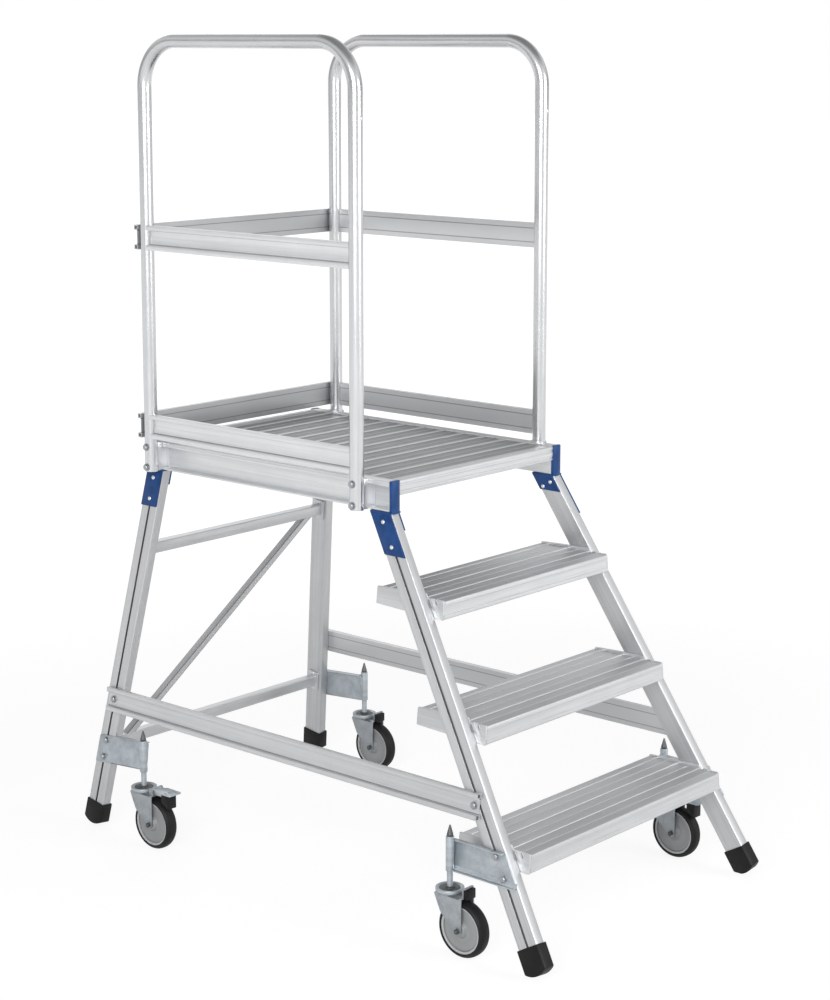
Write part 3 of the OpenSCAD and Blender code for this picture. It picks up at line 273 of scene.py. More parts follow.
blueFinish = cloudy("blue powder coat", powder, dark=(0.008, 0.045, 0.165), light=(0.014, 0.068, 0.235),
                    patch=(0.045, 0.12, 0.32), rough=0.4, relief=0.18, specular=0.25)
rubberFinish = cloudy("boot rubber", rubber, dark=(0.003, 0.003, 0.003), light=(0.007, 0.007, 0.007),
                      patch=(0.022, 0.022, 0.021), rough=0.42, relief=0.25, specular=0.28)
tyreFinish = cloudy("tyre rubber", rubber, dark=(0.012, 0.012, 0.013), light=(0.026, 0.026, 0.028),
                    patch=(0.085, 0.083, 0.080), rough=0.5, relief=0.25, specular=0.2)
# pale is the rim's painted highlight; the line beside the ring is painted shade
wheelFinish = cloudy("wheel plastic", plastic, dark=(0.27, 0.28, 0.285), light=(0.37, 0.38, 0.385),
                     patch=(0.20, 0.195, 0.185), rough=0.45, relief=0.12, pale=(0.52, 0.53, 0.54))
print("finishes made:", len(bpy.data.materials))


# shapes are built in millimetres
def rounded(points, steps=4):
    # corners are (x, y) or (x, y, radius)
    outline = []
    for i, point in enumerate(points):
        here = Vector(point[:2])
        radius = point[2] if len(point) > 2 else 0
        if radius <= 0:
            outline.append(here)
            continue
        back = Vector(points[i - 1][:2]) - here
        ahead = Vector(points[(i + 1) % len(points)][:2]) - here
        longest = 0.49 * min(back.length, ahead.length)
        back.normalize()
        ahead.normalize()
        half = acos(max(-1, min(1, back.dot(ahead)))) / 2
        reach = min(radius / tan(half), longest)
        centre = here + (back + ahead).normalized() * (reach / cos(half))
        start, end = here + back * reach - centre, here + ahead * reach - centre
        turn = atan2(start.x * end.y - start.y * end.x, start.dot(end))
        for k in range(steps + 1):
            outline.append(centre + Matrix.Rotation(turn * k / steps, 2) @ start)
    return outline


def boxOutline(x0, y0, x1, y1, radius):
    return rounded([(x0, y0, radius), (x1, y0, radius), (x1, y1, radius), (x0, y1, radius)])


def bar(outline, low, high, holes=()):
    # an outline run along z; low and high are heights or functions of x and y
    bm = bmesh.new()
    rims = [[], []]
    for loop in [outline, *holes]:
        rings = []
        for level in (low, high):
            heights = [level(p[0], p[1]) if callable(level) else level for p in loop]
            rings.append([bm.verts.new((p[0], p[1], z)) for p, z in zip(loop, heights)])
        count = len(loop)
        for i in range(count):
            j = (i + 1) % count
            bm.faces.new((rings[0][i], rings[0][j], rings[1][j], rings[1][i]))
        for rim, ring in zip(rims, rings):
            if holes:
                rim += [bm.edges.get((ring[i], ring[(i + 1) % count])) for i in range(count)]
            else:
                bm.faces.new(ring)
    if holes:
        for rim in rims:
            bmesh.ops.triangle_fill(bm, use_beauty=True, edges=rim)
    bmesh.ops.recalc_face_normals(bm, faces=bm.faces)
    return bm


def opposite(cut):
    return lambda x, y: -cut(x, y)


def soften(bm, width, segments=2, sharp=0.5):
    # breaks the edges at which two faces turn by more than sharp, in radians
    edges = [e for e in bm.edges if len(e.link_faces) == 2 and e.calc_face_angle() > sharp]
    bmesh.ops.bevel(bm, geom=edges, offset=width, offset_type="OFFSET", segments=segments, profile=0.5,
                    affect="EDGES", clamp_overlap=True)
    return bm


def block(x0, y0, z0, x1, y1, z1, width):
    return soften(bar([(x0, y0), (x1, y0), (x1, y1), (x0, y1)], z0, z1), width)


def circle(radius, count):
    angles = [2 * pi * k / count for k in range(count)]
    return [(radius * cos(a), radius * sin(a)) for a in angles]


def bridge(bm, a, b):
    # faces between two rings, either of which may be a single point
    count = max(len(a), len(b))
    for k in range(count if count > 1 else 0):
        n = (k + 1) % count
        if len(a) == 1:
            bm.faces.new((a[0], b[n], b[k]))
        elif len(b) == 1:
            bm.faces.new((a[k], a[n], b[0]))
        else:
            bm.faces.new((a[k], a[n], b[n], b[k]))


def lathe(points, count=56):
    # radius and height turned about z; a chain that leaves the axis is closed into a ring
    bm = bmesh.new()
    rings = []
    for radius, height in points:
        spots = circle(radius, count) if radius >= 1e-6 else [(0, 0)]
        rings.append([bm.verts.new((x, y, height)) for x, y in spots])
    for a, b in zip(rings, rings[1:]):
        bridge(bm, a, b)
    if len(rings[0]) > 1 and len(rings[-1]) > 1:
        bridge(bm, rings[-1], rings[0])
    bmesh.ops.recalc_face_normals(bm, faces=bm.faces)
    layer = bm.verts.layers.float_vector.new("grain")
    for v in bm.verts:
        v[layer] = Vector((hypot(v.co.x, v.co.y), v.co.z * 1.7, 0))
    return bm


def bentTube(path, radius, wall, deep=60, lip=0.3, count=36):
    # path lies in one plane across x; both ends are open for the length deep
    bm = bmesh.new()
    layer = bm.verts.layers.float_vector.new("grain")
    across = Vector((1, 0, 0))
    last = len(path) - 1
    tangents = [(path[min(i + 1, last)] - path[max(i - 1, 0)]).normalized() for i in range(last + 1)]
    travelled, rings = 0, []
    for i in range(last + 1):
        travelled += (path[i] - path[i - 1]).length if i else 0
        up = tangents[i].cross(across)
        sections = {0: [radius - wall, radius - lip, radius], last: [radius, radius - lip, radius - wall]}
        for size in sections.get(i, [radius]):
            ring = []
            for k in range(count):
                angle = 2 * pi * k / count
                v = bm.verts.new(path[i] + size * (cos(angle) * across + sin(angle) * up))
                v[layer] = Vector((radius * cos(angle), radius * sin(angle), travelled))
                ring.append(v)
            rings.append(ring)
    ends = []
    for at, ring, way in ((0, rings[0], deep), (-1, rings[-1], -deep)):
        inside = path[at] + tangents[at] * way
        far = []
        for v in ring:
            w = bm.verts.new(inside + (v.co - path[at]))
            w[layer] = v[layer]
            far.append(w)
        ends.append(far)
    rings = [ends[0], *rings, ends[1]]
    for a, b in zip(rings, rings[1:]):
        bridge(bm, a, b)
    bm.faces.new(rings[0])
    bm.faces.new(rings[-1])
    bmesh.ops.recalc_face_normals(bm, faces=bm.faces)
    return bm


def softCopy(node, width, segments=2):
    bm = bmesh.new()
    bm.from_mesh(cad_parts[node].data)
    bmesh.ops.remove_doubles(bm, verts=bm.verts, dist=1e-6)
    bmesh.ops.dissolve_limit(bm, angle_limit=0.02, verts=bm.verts, edges=bm.edges)
    bmesh.ops.scale(bm, vec=(1 / mm, 1 / mm, 1 / mm), verts=bm.verts)
    return soften(bm, width, segments)


def dress(piece, body, nodes):
    scene.collection.objects.link(piece)
    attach(piece, body)
    if nodes:
        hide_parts(*nodes)
    return piece


class Shell:
    # gathers the bodies of one piece; each keeps its own place along the profile as "grain"
    def __init__(self):
        self.points, self.faces, self.grain = [], [], []

    def add(self, bm, matrix=Matrix(), side=1, along=2):
        start = len(self.points)
        layer = bm.verts.layers.float_vector.get("grain")
        bm.verts.index_update()
        for v in bm.verts:
            p = matrix @ v.co
            self.points.append((p.x * side * mm, p.y * mm, p.z * mm))
            g = v[layer] if layer else v.co
            self.grain.append([g[(along + 1) % 3] * mm, g[(along + 2) % 3] * mm, g[along] * mm])
        for f in bm.faces:
            loop = [start + v.index for v in f.verts]
            self.faces.append(loop if side > 0 else loop[::-1])
        bm.free()
        return self

    def addAll(self, parts, matrix=Matrix(), side=1):
        for bm, place, along in parts:
            self.add(bm, matrix @ place, side, along)
        return self

    def mesh(self, name, finish, sharp=30):
        mesh = bpy.data.meshes.new(name)
        mesh.from_pydata(self.points, [], self.faces)
        grain = mesh.attributes.new("grain", "FLOAT_VECTOR", "POINT")
        grain.data.foreach_set("vector", [c for g in self.grain for c in g])
        mesh.materials.append(finish)
        mesh.shade_smooth()
        mesh.set_sharp_from_angle(angle=radians(sharp))
        return mesh

    def piece(self, name, finish, body, slot, *nodes):
        return dress(bpy.data.objects.new(name, self.mesh(name, finish)), body, nodes)


def newTree(name, inputs):
    tree = bpy.data.node_groups.new(name, "GeometryNodeTree")
    for label, kind in inputs.items():
        tree.interface.new_socket(label, in_out="INPUT", socket_type="NodeSocket" + kind)
    tree.interface.new_socket("Geometry", in_out="OUTPUT", socket_type="NodeSocketGeometry")
    start = tree.nodes.new("NodeGroupInput")
    end = tree.nodes.new("NodeGroupOutput")
    return tree, {label: Wire(tree, start.outputs[label]) for label in inputs}, end


def finishTree(shape, given, end):
    # every tree ends in plain geometry with its finish
    solid = shape.node("GeometryNodeRealizeInstances", None, {"Geometry": shape})
    done = solid.node("GeometryNodeSetMaterial", None, {"Geometry": solid, "Material": given["Finish"]})
    done.into(end.inputs["Geometry"])


def grow(name, tree, base, values):
    # runs a tree on a mesh and keeps the result as a plain mesh
    helper = bpy.data.objects.new(name + " helper", base)
    modifier = helper.modifiers.new("grow", "NODES")
    modifier.node_group = tree
    for item in tree.interface.items_tree:
        if item.in_out == "INPUT" and item.name in values:
            modifier[item.identifier] = values[item.name]
    scene.collection.objects.link(helper)
    view = bpy.context.evaluated_depsgraph_get()
    mesh = bpy.data.meshes.new_from_object(helper.evaluated_get(view))
    mesh.name = name
    helper.modifiers.remove(modifier)
    bpy.data.objects.remove(helper)
    return mesh


def rowTree():
    inputs = {"Geometry": "Geometry", "Count": "Int", "Pitch": "Float", "Finish": "Material"}
    tree, given, end = newTree("row", inputs)
    step = given["Pitch"].node("ShaderNodeCombineXYZ", None, {"Y": given["Pitch"]})
    line = step.node("GeometryNodeMeshLine", {"mode": "OFFSET"}, {"Count": given["Count"], "Offset": step})
    copies = line.node("GeometryNodeInstanceOnPoints", None, {"Points": line, "Instance": given["Geometry"]})
    finishTree(copies, given, end)
    return tree


def headTree(name, makeHead):
    # sets a fastener's head on every point, along the point's facing
    inputs = {"Geometry": "Geometry", "Radius": "Float", "Height": "Float", "Finish": "Material"}
    tree, given, end = newTree(name, inputs)
    head = makeHead(given["Radius"], given["Height"])
    facing = head.node("GeometryNodeInputNamedAttribute", {"data_type": "FLOAT_VECTOR"}, {"Name": "facing"})
    turn = facing.node("FunctionNodeAlignRotationToVector", {"axis": "Z"}, {"Vector": facing})
    copies = head.node("GeometryNodeInstanceOnPoints", None,
                       {"Points": given["Geometry"], "Instance": head, "Rotation": turn})
    solid = copies.node("GeometryNodeRealizeInstances", None, {"Geometry": copies})
    smooth = solid.node("GeometryNodeSetShadeSmooth", None, {"Geometry": solid, "Shade Smooth": True})
    finishTree(smooth, given, end)
    return tree


def rivetHead(radius, height):
    dome = radius.node("GeometryNodeMeshUVSphere", None, {"Segments": 20, "Rings": 10, "Radius": radius})
    flat = radius.node("ShaderNodeCombineXYZ", None, {"X": 1.0, "Y": 1.0, "Z": height / radius})
    return dome.node("GeometryNodeTransform", None, {"Geometry": dome, "Scale": flat})


def boltHead(radius, height):
    # washer, hexagon and a tapered crown; sizes and levels are shares of radius and height
    join = radius.tree.nodes.new("GeometryNodeJoinGeometry")
    for sides, size, low, high in ((28, 1.22, 0.0, 0.2), (6, 1.0, 0.2, 0.86), (24, 0.86, 0.86, 1.0)):
        depth = height * (high - low)
        if high == 1.0:
            solid = radius.node("GeometryNodeMeshCone", None,
                                {"Vertices": sides, "Radius Top": radius * 0.72, "Radius Bottom": radius * size,
                                 "Depth": depth})
            level = low
        else:
            solid = radius.node("GeometryNodeMeshCylinder", None,
                                {"Vertices": sides, "Radius": radius * size, "Depth": depth})
            level = (high + low) / 2
        place = radius.node("ShaderNodeCombineXYZ", None, {"Z": height * level})
        part = solid.node("GeometryNodeTransform", None, {"Geometry": solid, "Translation": place})
        part.into(join.inputs[0])
    return Wire(radius.tree, join.outputs[0])


def springTree():
    inputs = {"Geometry": "Geometry", "Turns": "Float", "Radius": "Float", "Height": "Float", "Wire": "Float",
              "Place": "Vector", "Finish": "Material"}
    tree, given, end = newTree("spring", inputs)
    ink = given["Radius"]
    coil = ink.node("GeometryNodeCurveSpiral", None, {"Resolution": 20, "Rotations": given["Turns"],
                                                       "Start Radius": ink, "End Radius": ink,
                                                       "Height": given["Height"]})
    section = ink.node("GeometryNodeCurvePrimitiveCircle", None, {"Resolution": 8, "Radius": given["Wire"]})
    wire = ink.node("GeometryNodeCurveToMesh", None,
                    {"Curve": coil, "Profile Curve": section, "Fill Caps": True})
    moved = ink.node("GeometryNodeTransform", None, {"Geometry": wire, "Translation": given["Place"]})
    finishTree(moved, given, end)
    return tree


# where the legs and the platform stand, in millimetres and degrees
stance = {"lift": 10, "rise": 240, "rises": 4, "splay": 6.6, "frontLean": 30.7, "rearLean": 9.2,
          "legWidth": 52, "legDepth": 25, "railX": 297, "railHeight": 68, "railDepth": 26, "saddle": 4,
          "platformAhead": 71, "platformLength": 790, "legInset": 34, "legStep": 0.3, "fit": 0.15}
lift, rise, fit = stance["lift"], stance["rise"], stance["fit"]
legWidth, legDepth = stance["legWidth"], stance["legDepth"]
splay = radians(stance["splay"])
frontLean, rearLean = radians(stance["frontLean"]), radians(stance["rearLean"])
stileTurn = atan(tan(frontLean) * cos(splay))
rearTurn = atan(tan(rearLean) * cos(splay))
half = legWidth / 2
stileHalf, rearHalf = half / cos(stileTurn), half / cos(rearTurn)
deckZ = lift + stance["rises"] * rise
railX, railIn = stance["railX"], stance["railX"] - stance["railDepth"]
railZ = deckZ - stance["railHeight"]
saddleZ = railZ - stance["saddle"]
sideX = railX + stance["legStep"] + (saddleZ - lift) * tan(splay)


def stileY(z):
    return tan(frontLean) * (z - lift)


platformFront = stileY(deckZ) - stance["platformAhead"]
platformRear = platformFront + stance["platformLength"]
rearSole = platformRear - stance["legInset"] + tan(rearLean) * (saddleZ - lift)
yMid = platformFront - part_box("front_nosing")[0].y / mm


def rearY(z):
    return rearSole - tan(rearLean) * (z - lift)


def faceX(z):
    return sideX - (z - lift) * tan(splay)


def upSide(z):
    return (z - lift) / cos(splay)


def shift(x, y, z):
    return Matrix.Translation((x, y, z))


placed = shift(0, -yMid, 0)
sideFrame = shift(sideX, -yMid, lift) @ Matrix.Rotation(-splay, 4, "Y")
stileFrame = sideFrame @ Matrix.Rotation(-stileTurn, 4, "X")
rearLegFrame = sideFrame @ shift(0, rearSole, 0) @ Matrix.Rotation(rearTurn, 4, "X")
rearPlane = shift(0, rearSole - yMid, lift) @ Matrix.Rotation(rearLean, 4, "X")
acrossTurn = Matrix(((0, 0, 1, 0), (1, 0, 0, 0), (0, 1, 0, 0), (0, 0, 0, 1)))  # y, z outline run along x
backTurn = Matrix.Rotation(pi / 2, 4, "X")                                 # x, z outline run along -y
lieTurn = Matrix.Rotation(pi / 2, 4, "Y")                                  # turned shape laid along x
sides = (("left", -1), ("right", 1))


def levelCut(matrix, height):
    # distance along local z at which each line of the profile meets a level plane
    def cut(x, y):
        low, high = matrix @ Vector((x, y, 0)), matrix @ Vector((x, y, 1))
        return (height - low.z) / (high.z - low.z)
    return cut


def along(matrix, z):
    return levelCut(matrix, z)(0, 0)


fasteners = {"rivet": [], "bolt": []}


def fasten(kind, matrix, place, facing):
    # one head on each side of the step
    p, d = matrix @ Vector(place), matrix.to_3x3() @ Vector(facing)
    for side in (-1, 1):
        fasteners[kind].append((Vector((p.x * side, p.y, p.z)) * mm, Vector((d.x * side, d.y, d.z))))


legs = {"foot": 26, "corner": 2.2, "grooveWidth": 6, "grooveDepth": 4.5, "lip": 0.6, "grooveCorner": 0.4,
        "bootEdge": 2.2}
groove, sunk, legCorner = legs["grooveWidth"] / 2, -legs["grooveDepth"], legs["corner"]
legOutline = rounded([(-legDepth, -half, legCorner), (0, -half, legCorner), (0, -groove, legs["lip"]),
                      (sunk, -groove, legs["grooveCorner"]), (sunk, groove, legs["grooveCorner"]),
                      (0, groove, legs["lip"]), (0, half, legCorner), (-legDepth, half, legCorner)])
for label, side in sides:
    for name, node, place in (("stile", "stile_", stileFrame), ("rearLeg", "rear_leg_", rearLegFrame)):
        leg = Shell().add(bar(legOutline, legs["foot"], levelCut(place, saddleZ - fit)), place, side)
        leg.piece(name + label.title(), legFinish, "frame", "leg_aluminium", node + label)
boots = softCopy("rubber_boots", legs["bootEdge"], 3)
Shell().add(boots).piece("boots", rubberFinish, "frame", "black_rubber", "rubber_boots")
print("legs and boots done")

treads = {"depth": 195, "front": 42, "rear": 34, "ahead": 77, "nose": 14, "wall": 3, "pitch": 59,
          "margin": 22, "ridge": 6, "ridgeHeight": 2, "rib": 3, "ribHeight": 1, "endPlate": 4, "upFront": 3,
          "upStile": 11, "upRear": 5, "slot": 4, "tongue": 13, "slotFloor": 9, "rivetGap": 20, "channel": 1.2,
          "channelEnd": 10}
nodeNames = {1: "lower", 2: "middle", 3: "upper"}


def treadOutline():
    # y and z: a nose with a shallow channel, then ridges with lower ribs between them
    t = treads
    top, bottom, sink, inset = -t["ridgeHeight"], -t["front"], t["channel"], t["channelEnd"]
    last = t["depth"] - t["margin"]
    bumps = [(last - k * t["pitch"], t["ridge"] / 2, 0) for k in range(3)]
    bumps += [(last - (k + 0.5) * t["pitch"], t["rib"] / 2, top + t["ribHeight"]) for k in range(3)]
    points = [(t["nose"], bottom, 1), (0, bottom, 1.6), (0, bottom + inset - 1, 0.6),
              (sink, bottom + inset, 0.6), (sink, top - inset - 1, 0.6), (0, top - inset, 0.6), (0, top, 3.0)]
    for middle, reach, height in sorted(bumps):
        points += [(middle - reach - 0.6, top, 0.4), (middle - reach + 0.4, height, 0.8),
                   (middle + reach - 0.4, height, 0.8), (middle + reach + 0.6, top, 0.4)]
    back = t["depth"] - t["wall"]
    points += [(t["depth"], top, 2.4), (t["depth"], -t["rear"], 0.8), (back, -t["rear"], 0.8),
               (back, top - t["wall"], 2), (t["nose"], top - t["wall"], 2)]
    return rounded(points, 3)


def treadEnd(level):
    def cut(x, y):
        return faceX(level + y) - (legDepth + treads["endPlate"] + 2 * fit) / cos(splay)
    return cut


def endPlateOutline(level):
    # y and z in the side's plane, with two slots that run down along the stile's front edge
    t = treads
    z = upSide(lift + level * rise)
    axis = tan(stileTurn) * z
    front, rear = axis - t["ahead"] + 1, axis - t["ahead"] + t["depth"] - 1
    low = z - t["front"] + 1
    floor = (low + t["slotFloor"]) / cos(stileTurn)
    c, s = cos(stileTurn), sin(stileTurn)

    def onLine(localY, height):
        run = (height + localY * s) / c
        return localY * c + run * s, height

    def deep(localY):
        return localY * c + floor * s, -localY * s + floor * c

    points = [(front, low, 3), (rear, z - t["rear"], 2), (rear, z + t["upRear"], 3)]
    top = t["upStile"]
    for i in range(2):
        start = -half - i * (t["slot"] + t["tongue"])
        points += [(*onLine(start, z + top), 2), (*deep(start), 1.4), (*deep(start - t["slot"]), 1.4)]
        top = t["upFront"]
        points.append((*onLine(start - t["slot"], z + top), 1.2))
    points.append((front, z + t["upFront"], 4))
    return rounded(points, 4)


for level, name in nodeNames.items():
    z = lift + level * rise
    place = placed @ shift(0, stileY(z) - treads["ahead"], z) @ acrossTurn
    tread = Shell().add(bar(treadOutline(), opposite(treadEnd(z)), treadEnd(z)), place)
    tread.piece("tread" + name.title(), treadFinish, "frame", "tread_aluminium", "tread_" + name)
plates = Shell()
plateX = -legDepth - treads["endPlate"] - fit
for level in nodeNames:
    for label, side in sides:
        plate = soften(bar(endPlateOutline(level), 0, treads["endPlate"]), edge["plate"])
        plates.add(plate, sideFrame @ shift(plateX, 0, 0) @ acrossTurn, side, along=0)
    up = upSide(lift + level * rise - treads["front"] / 2) / cos(stileTurn)
    for y in (-treads["rivetGap"] / 2, treads["rivetGap"] / 2):
        fasten("rivet", stileFrame, (plateX, y, up), (-1, 0, 0))
plates.piece("treadEndPlates", plateFinish, "frame", "plate_aluminium", "tread_end_plates")
print("treads done")

platform = {"planks": 12, "plankHeight": 30, "ridge": 10, "rib": 2.4, "ribHeight": 1, "nosingDepth": 12,
            "nosingHeight": 34, "channelTops": (8, 24), "channelHeight": 6, "channel": 1.2, "wall": 3,
            "flange": 13, "sill": 5, "ledge": 15, "strap": 8, "strapOut": 3}
pitch = (stance["platformLength"] - 2 * platform["nosingDepth"]) / platform["planks"]
reach = railIn - fit


def plankOutline():
    # a ridge at the front edge, a low rib in the middle of the sunk flat, open underneath
    p = platform
    width, top, wall, low = pitch - fit, -treads["ridgeHeight"], p["wall"], -p["plankHeight"]
    middle, rib, crest = (width + p["ridge"]) / 2, p["rib"] / 2, top + p["ribHeight"]
    return rounded([(0, low, 0.6), (0, 0, 1.0), (p["ridge"], 0, 1.2), (p["ridge"] + 1.2, top, 0.6),
                    (middle - rib - 1, top, 0.4), (middle - rib, crest, 0.5), (middle + rib, crest, 0.5),
                    (middle + rib + 1, top, 0.4), (width, top, 0.8), (width, low, 0.6),
                    (width - wall, low, 0.6), (width - wall, top - wall, 1.5), (wall, top - wall, 1.5),
                    (wall, low, 0.6)], 3)


place = placed @ shift(0, platformFront + platform["nosingDepth"] + fit / 2, deckZ) @ acrossTurn
plank = Shell().add(bar(plankOutline(), -reach, reach), place)
mesh = grow("deckPlanks", rowTree(), plank.mesh("plank", deckFinish),
            {"Count": platform["planks"], "Pitch": pitch * mm, "Finish": deckFinish})
dress(bpy.data.objects.new("deckPlanks", mesh), "frame", ["deck_planks"])


def nosingOutline(out):
    # out is the side that faces away from the deck: two shallow channels show there
    p = platform
    d, h, sink, tall = p["nosingDepth"], p["nosingHeight"], p["channel"], p["channelHeight"]
    points = [(0, 0, 3)]
    for top in p["channelTops"]:
        points += [(0, -top, 0.5), (sink, -top - 1, 0.5), (sink, 1 - top - tall, 0.5), (0, -top - tall, 0.5)]
    points += [(0, -h, 1.5), (d, -h, 1.5), (d, 0, 1)]
    if out > 0:
        points = [(d - x, y, r) for x, y, r in points][::-1]
    return rounded(points, 3)


for name, node, y, out in (("frontNosing", "front_nosing", platformFront, -1),
                           ("rearCrossrail", "rear_crossrail", platformRear - platform["nosingDepth"], 1)):
    Shell().add(bar(nosingOutline(out), -reach, reach), placed @ shift(0, y, deckZ) @ acrossTurn).piece(
        name, treadFinish, "frame", "tread_aluminium", node)


def railOutline():
    # x and z: a channel with a sill, a grooved flange and the ledge that carries the planks
    p, h, d, wall = platform, stance["railHeight"], stance["railDepth"], platform["wall"]
    shelf = h - p["plankHeight"] - fit
    middle = h - p["flange"] / 2
    return rounded([(0, 0, 0.8), (d, 0, 1.5), (d, p["sill"], 1.5), (wall, p["sill"], 2),
                    (wall, h - p["flange"], 2), (d, h - p["flange"], 1.5), (d, middle - 1, 0.4),
                    (d - 0.8, middle, 0.4), (d, middle + 1, 0.4), (d, h, 2), (0, h, 1), (0, shelf, 1.5),
                    (-p["ledge"], shelf, 1), (-p["ledge"], shelf - wall, 1), (0, shelf - wall, 1.5)], 3)


railEnd = platformRear + platform["strapOut"] - platform["strap"] - fit
railLength = stance["platformLength"] - 2 * (platform["strap"] - platform["strapOut"] + fit)
place = placed @ shift(railIn, railEnd, railZ) @ backTurn
for label, side in sides:
    Shell().add(bar(railOutline(), 0, railLength), place, side).piece(
        "sideRail" + label.title(), profileFinish, "frame", "profile_aluminium", "side_rail_" + label)
print("platform done")

corner = {"cheek": 4, "cheekHeight": 87, "innerHeight": 36, "rivetIn": 18, "innerRivetGap": 26, "bulge": 2.6,
          "bulgeSteps": 12, "cheekEdge": 1.3, "saddleEdge": 1.2, "strapEdge": 1.4}


def strapOutline(front):
    # plan of the strap: flat on the rail, rounded outwards like a barrel
    t, w, steps = platform["strap"], stance["railDepth"], corner["bulgeSteps"]
    arc = [(w * k / steps, -corner["bulge"] * sin(pi * k / steps)) for k in range(steps + 1)]
    points = arc + [(w, t), (0, t)]
    return points if front else [(x, t - y) for x, y in points][::-1]


cheek, strap = corner["cheek"], platform["strap"]
innerX = min(railIn, faceX(saddleZ) - (legDepth + fit + cheek) / cos(splay))
outerX = max(railX, faceX(saddleZ) + (fit + cheek) / cos(splay))
cheekX = -legDepth - fit - cheek  # where the inner cheek starts in the leg's frame
for end, front, place, legAt, halfWidth in (("front", True, stileFrame, stileY(saddleZ), stileHalf),
                                            ("rear", False, rearLegFrame, rearY(saddleZ), rearHalf)):
    endY = platformFront - platform["strapOut"] if front else platformRear + platform["strapOut"] - strap
    lowY, highY = min(endY, legAt - halfWidth), max(endY + strap, legAt + halfWidth)
    for label, side in sides:
        shell = Shell()
        for x, depth in ((fit, corner["cheekHeight"]), (cheekX, corner["innerHeight"])):
            flat = bar([(x, -half), (x + cheek, -half), (x + cheek, half), (x, half)],
                       levelCut(place, saddleZ - depth), levelCut(place, saddleZ + stance["saddle"] / 2))
            shell.add(soften(flat, corner["cheekEdge"], 3), place, side)
        saddle = block(innerX, lowY, saddleZ, outerX, highY, railZ - fit, corner["saddleEdge"])
        shell.add(saddle, placed, side)
        barrel = soften(bar(strapOutline(front), saddleZ, deckZ + 1), corner["strapEdge"], 3)
        shell.add(barrel, placed @ shift(railIn, endY, 0), side)
        shell.piece("cornerBracket" + end.title() + label.title(), blueFinish, "frame", "blue_paint",
                    f"corner_bracket_{end}_{label}")
    for z in (saddleZ - corner["rivetIn"], saddleZ - corner["cheekHeight"] + corner["rivetIn"]):
        fasten("rivet", place, (cheek + 2 * fit, 0, along(place, z)), (1, 0, 0))
    for y in (-corner["innerRivetGap"] / 2, corner["innerRivetGap"] / 2):
        fasten("rivet", place, (cheekX, y, along(place, saddleZ - corner["innerHeight"] / 2)), (-1, 0, 0))
print("corner brackets done")

guard = {"tube": 32, "wall": 2, "gap": 6, "front": 80, "rear": 44, "height": 940, "bend": 105, "drop": 69,
         "jointRivet": 779, "knee": 487, "toe": 40, "boardOut": 1, "boardRivetGap": 16, "footBoltGap": 48,
         "straightSteps": 6, "bendSteps": 24}
board = {"height": 58, "depth": 12, "bead": 12, "wall": 2}
tubeR = guard["tube"] / 2
hoopX = railX + guard["gap"] + tubeR
hoopFront, hoopRear = platformFront + guard["front"], platformRear - guard["rear"]


def hoopPath():
    # up the front, over two bends and down the rear
    low, top, bend = deckZ - guard["drop"], deckZ + guard["height"], guard["bend"]
    straight, steps = guard["straightSteps"], guard["bendSteps"]
    path = [Vector((hoopX, hoopFront, low + (top - bend - low) * k / straight)) for k in range(straight)]
    for y, start, end in ((hoopFront + bend, 180, 90), (hoopRear - bend, 90, 0)):
        for k in range(steps + 1):
            angle = radians(start + (end - start) * k / steps)
            path.append(Vector((hoopX, y + bend * cos(angle), top - bend + bend * sin(angle))))
    for k in range(straight - 1, -1, -1):
        path.append(Vector((hoopX, hoopRear, low + (top - bend - low) * k / straight)))
    return path


def boardOutline():
    # two hollow beads joined by a thin web
    h, d, bead, wall = board["height"] / 2, board["depth"], board["bead"], board["wall"]
    points = [(0, -h, 0.8), (d, -h, 1.6), (d, bead - h, 1.6), (wall, bead - h, 1.4), (wall, h - bead, 1.4),
              (d, h - bead, 1.6), (d, h, 1.6), (0, h, 0.8)]
    holes = [boxOutline(wall, z + wall, d - wall, z + bead - wall, 1) for z in (-h, h - bead)]
    return rounded(points, 3), holes


def notch(x, y):
    # how far a board's end stays off the axis of the round upright that it meets
    return sqrt((tubeR + fit) ** 2 - (x + guard["boardOut"]) ** 2)


outline, holes = boardOutline()
span = hoopRear - hoopFront
boardRows = (("kneeRail", "knee_rail_", guard["knee"]), ("toeBoard", "toe_board_", guard["toe"]))
for label, side in sides:
    Shell().add(bentTube(hoopPath(), tubeR, guard["wall"]), placed, side).piece(
        "hoop" + label.title(), tubeFinish, "frame", "tube_aluminium", "hoop_" + label)
    for name, node, up in boardRows:
        place = placed @ shift(hoopX + guard["boardOut"], hoopRear, deckZ + up) @ backTurn
        Shell().add(bar(outline, notch, lambda x, y: span - notch(x, y), holes), place, side).piece(
            name + label.title(), boardFinish, "frame", "profile_aluminium", node + label)
for name, node, up in boardRows:
    place = placed @ shift(0, hoopRear + tubeR + fit, deckZ + up) @ acrossTurn
    Shell().add(bar(outline, -hoopX - tubeR, hoopX + tubeR, holes), place).piece(
        name + "Rear", rearBoardShadedFinish, "frame", "profile_aluminium", node + "rear")
    behind = hoopRear + tubeR + fit + board["wall"]
    for aside in (-guard["boardRivetGap"] / 2, guard["boardRivetGap"] / 2):
        fasten("rivet", placed, (hoopX, behind, deckZ + up + aside), (0, 1, 0))
fasten("rivet", placed, (hoopX, hoopFront - tubeR, deckZ + guard["jointRivet"]), (0, -1, 0))
fasten("rivet", placed, (hoopX, hoopRear + tubeR, deckZ + guard["jointRivet"]), (0, 1, 0))
for y in (hoopFront, hoopRear):
    for up in (-1, 1):
        z = deckZ - stance["railHeight"] / 2 + up * guard["footBoltGap"] / 2
        fasten("bolt", placed, (hoopX + tubeR, y, z), (1, 0, 0))
spacers = Shell().add(softCopy("upright_spacers", edge["thick"]))
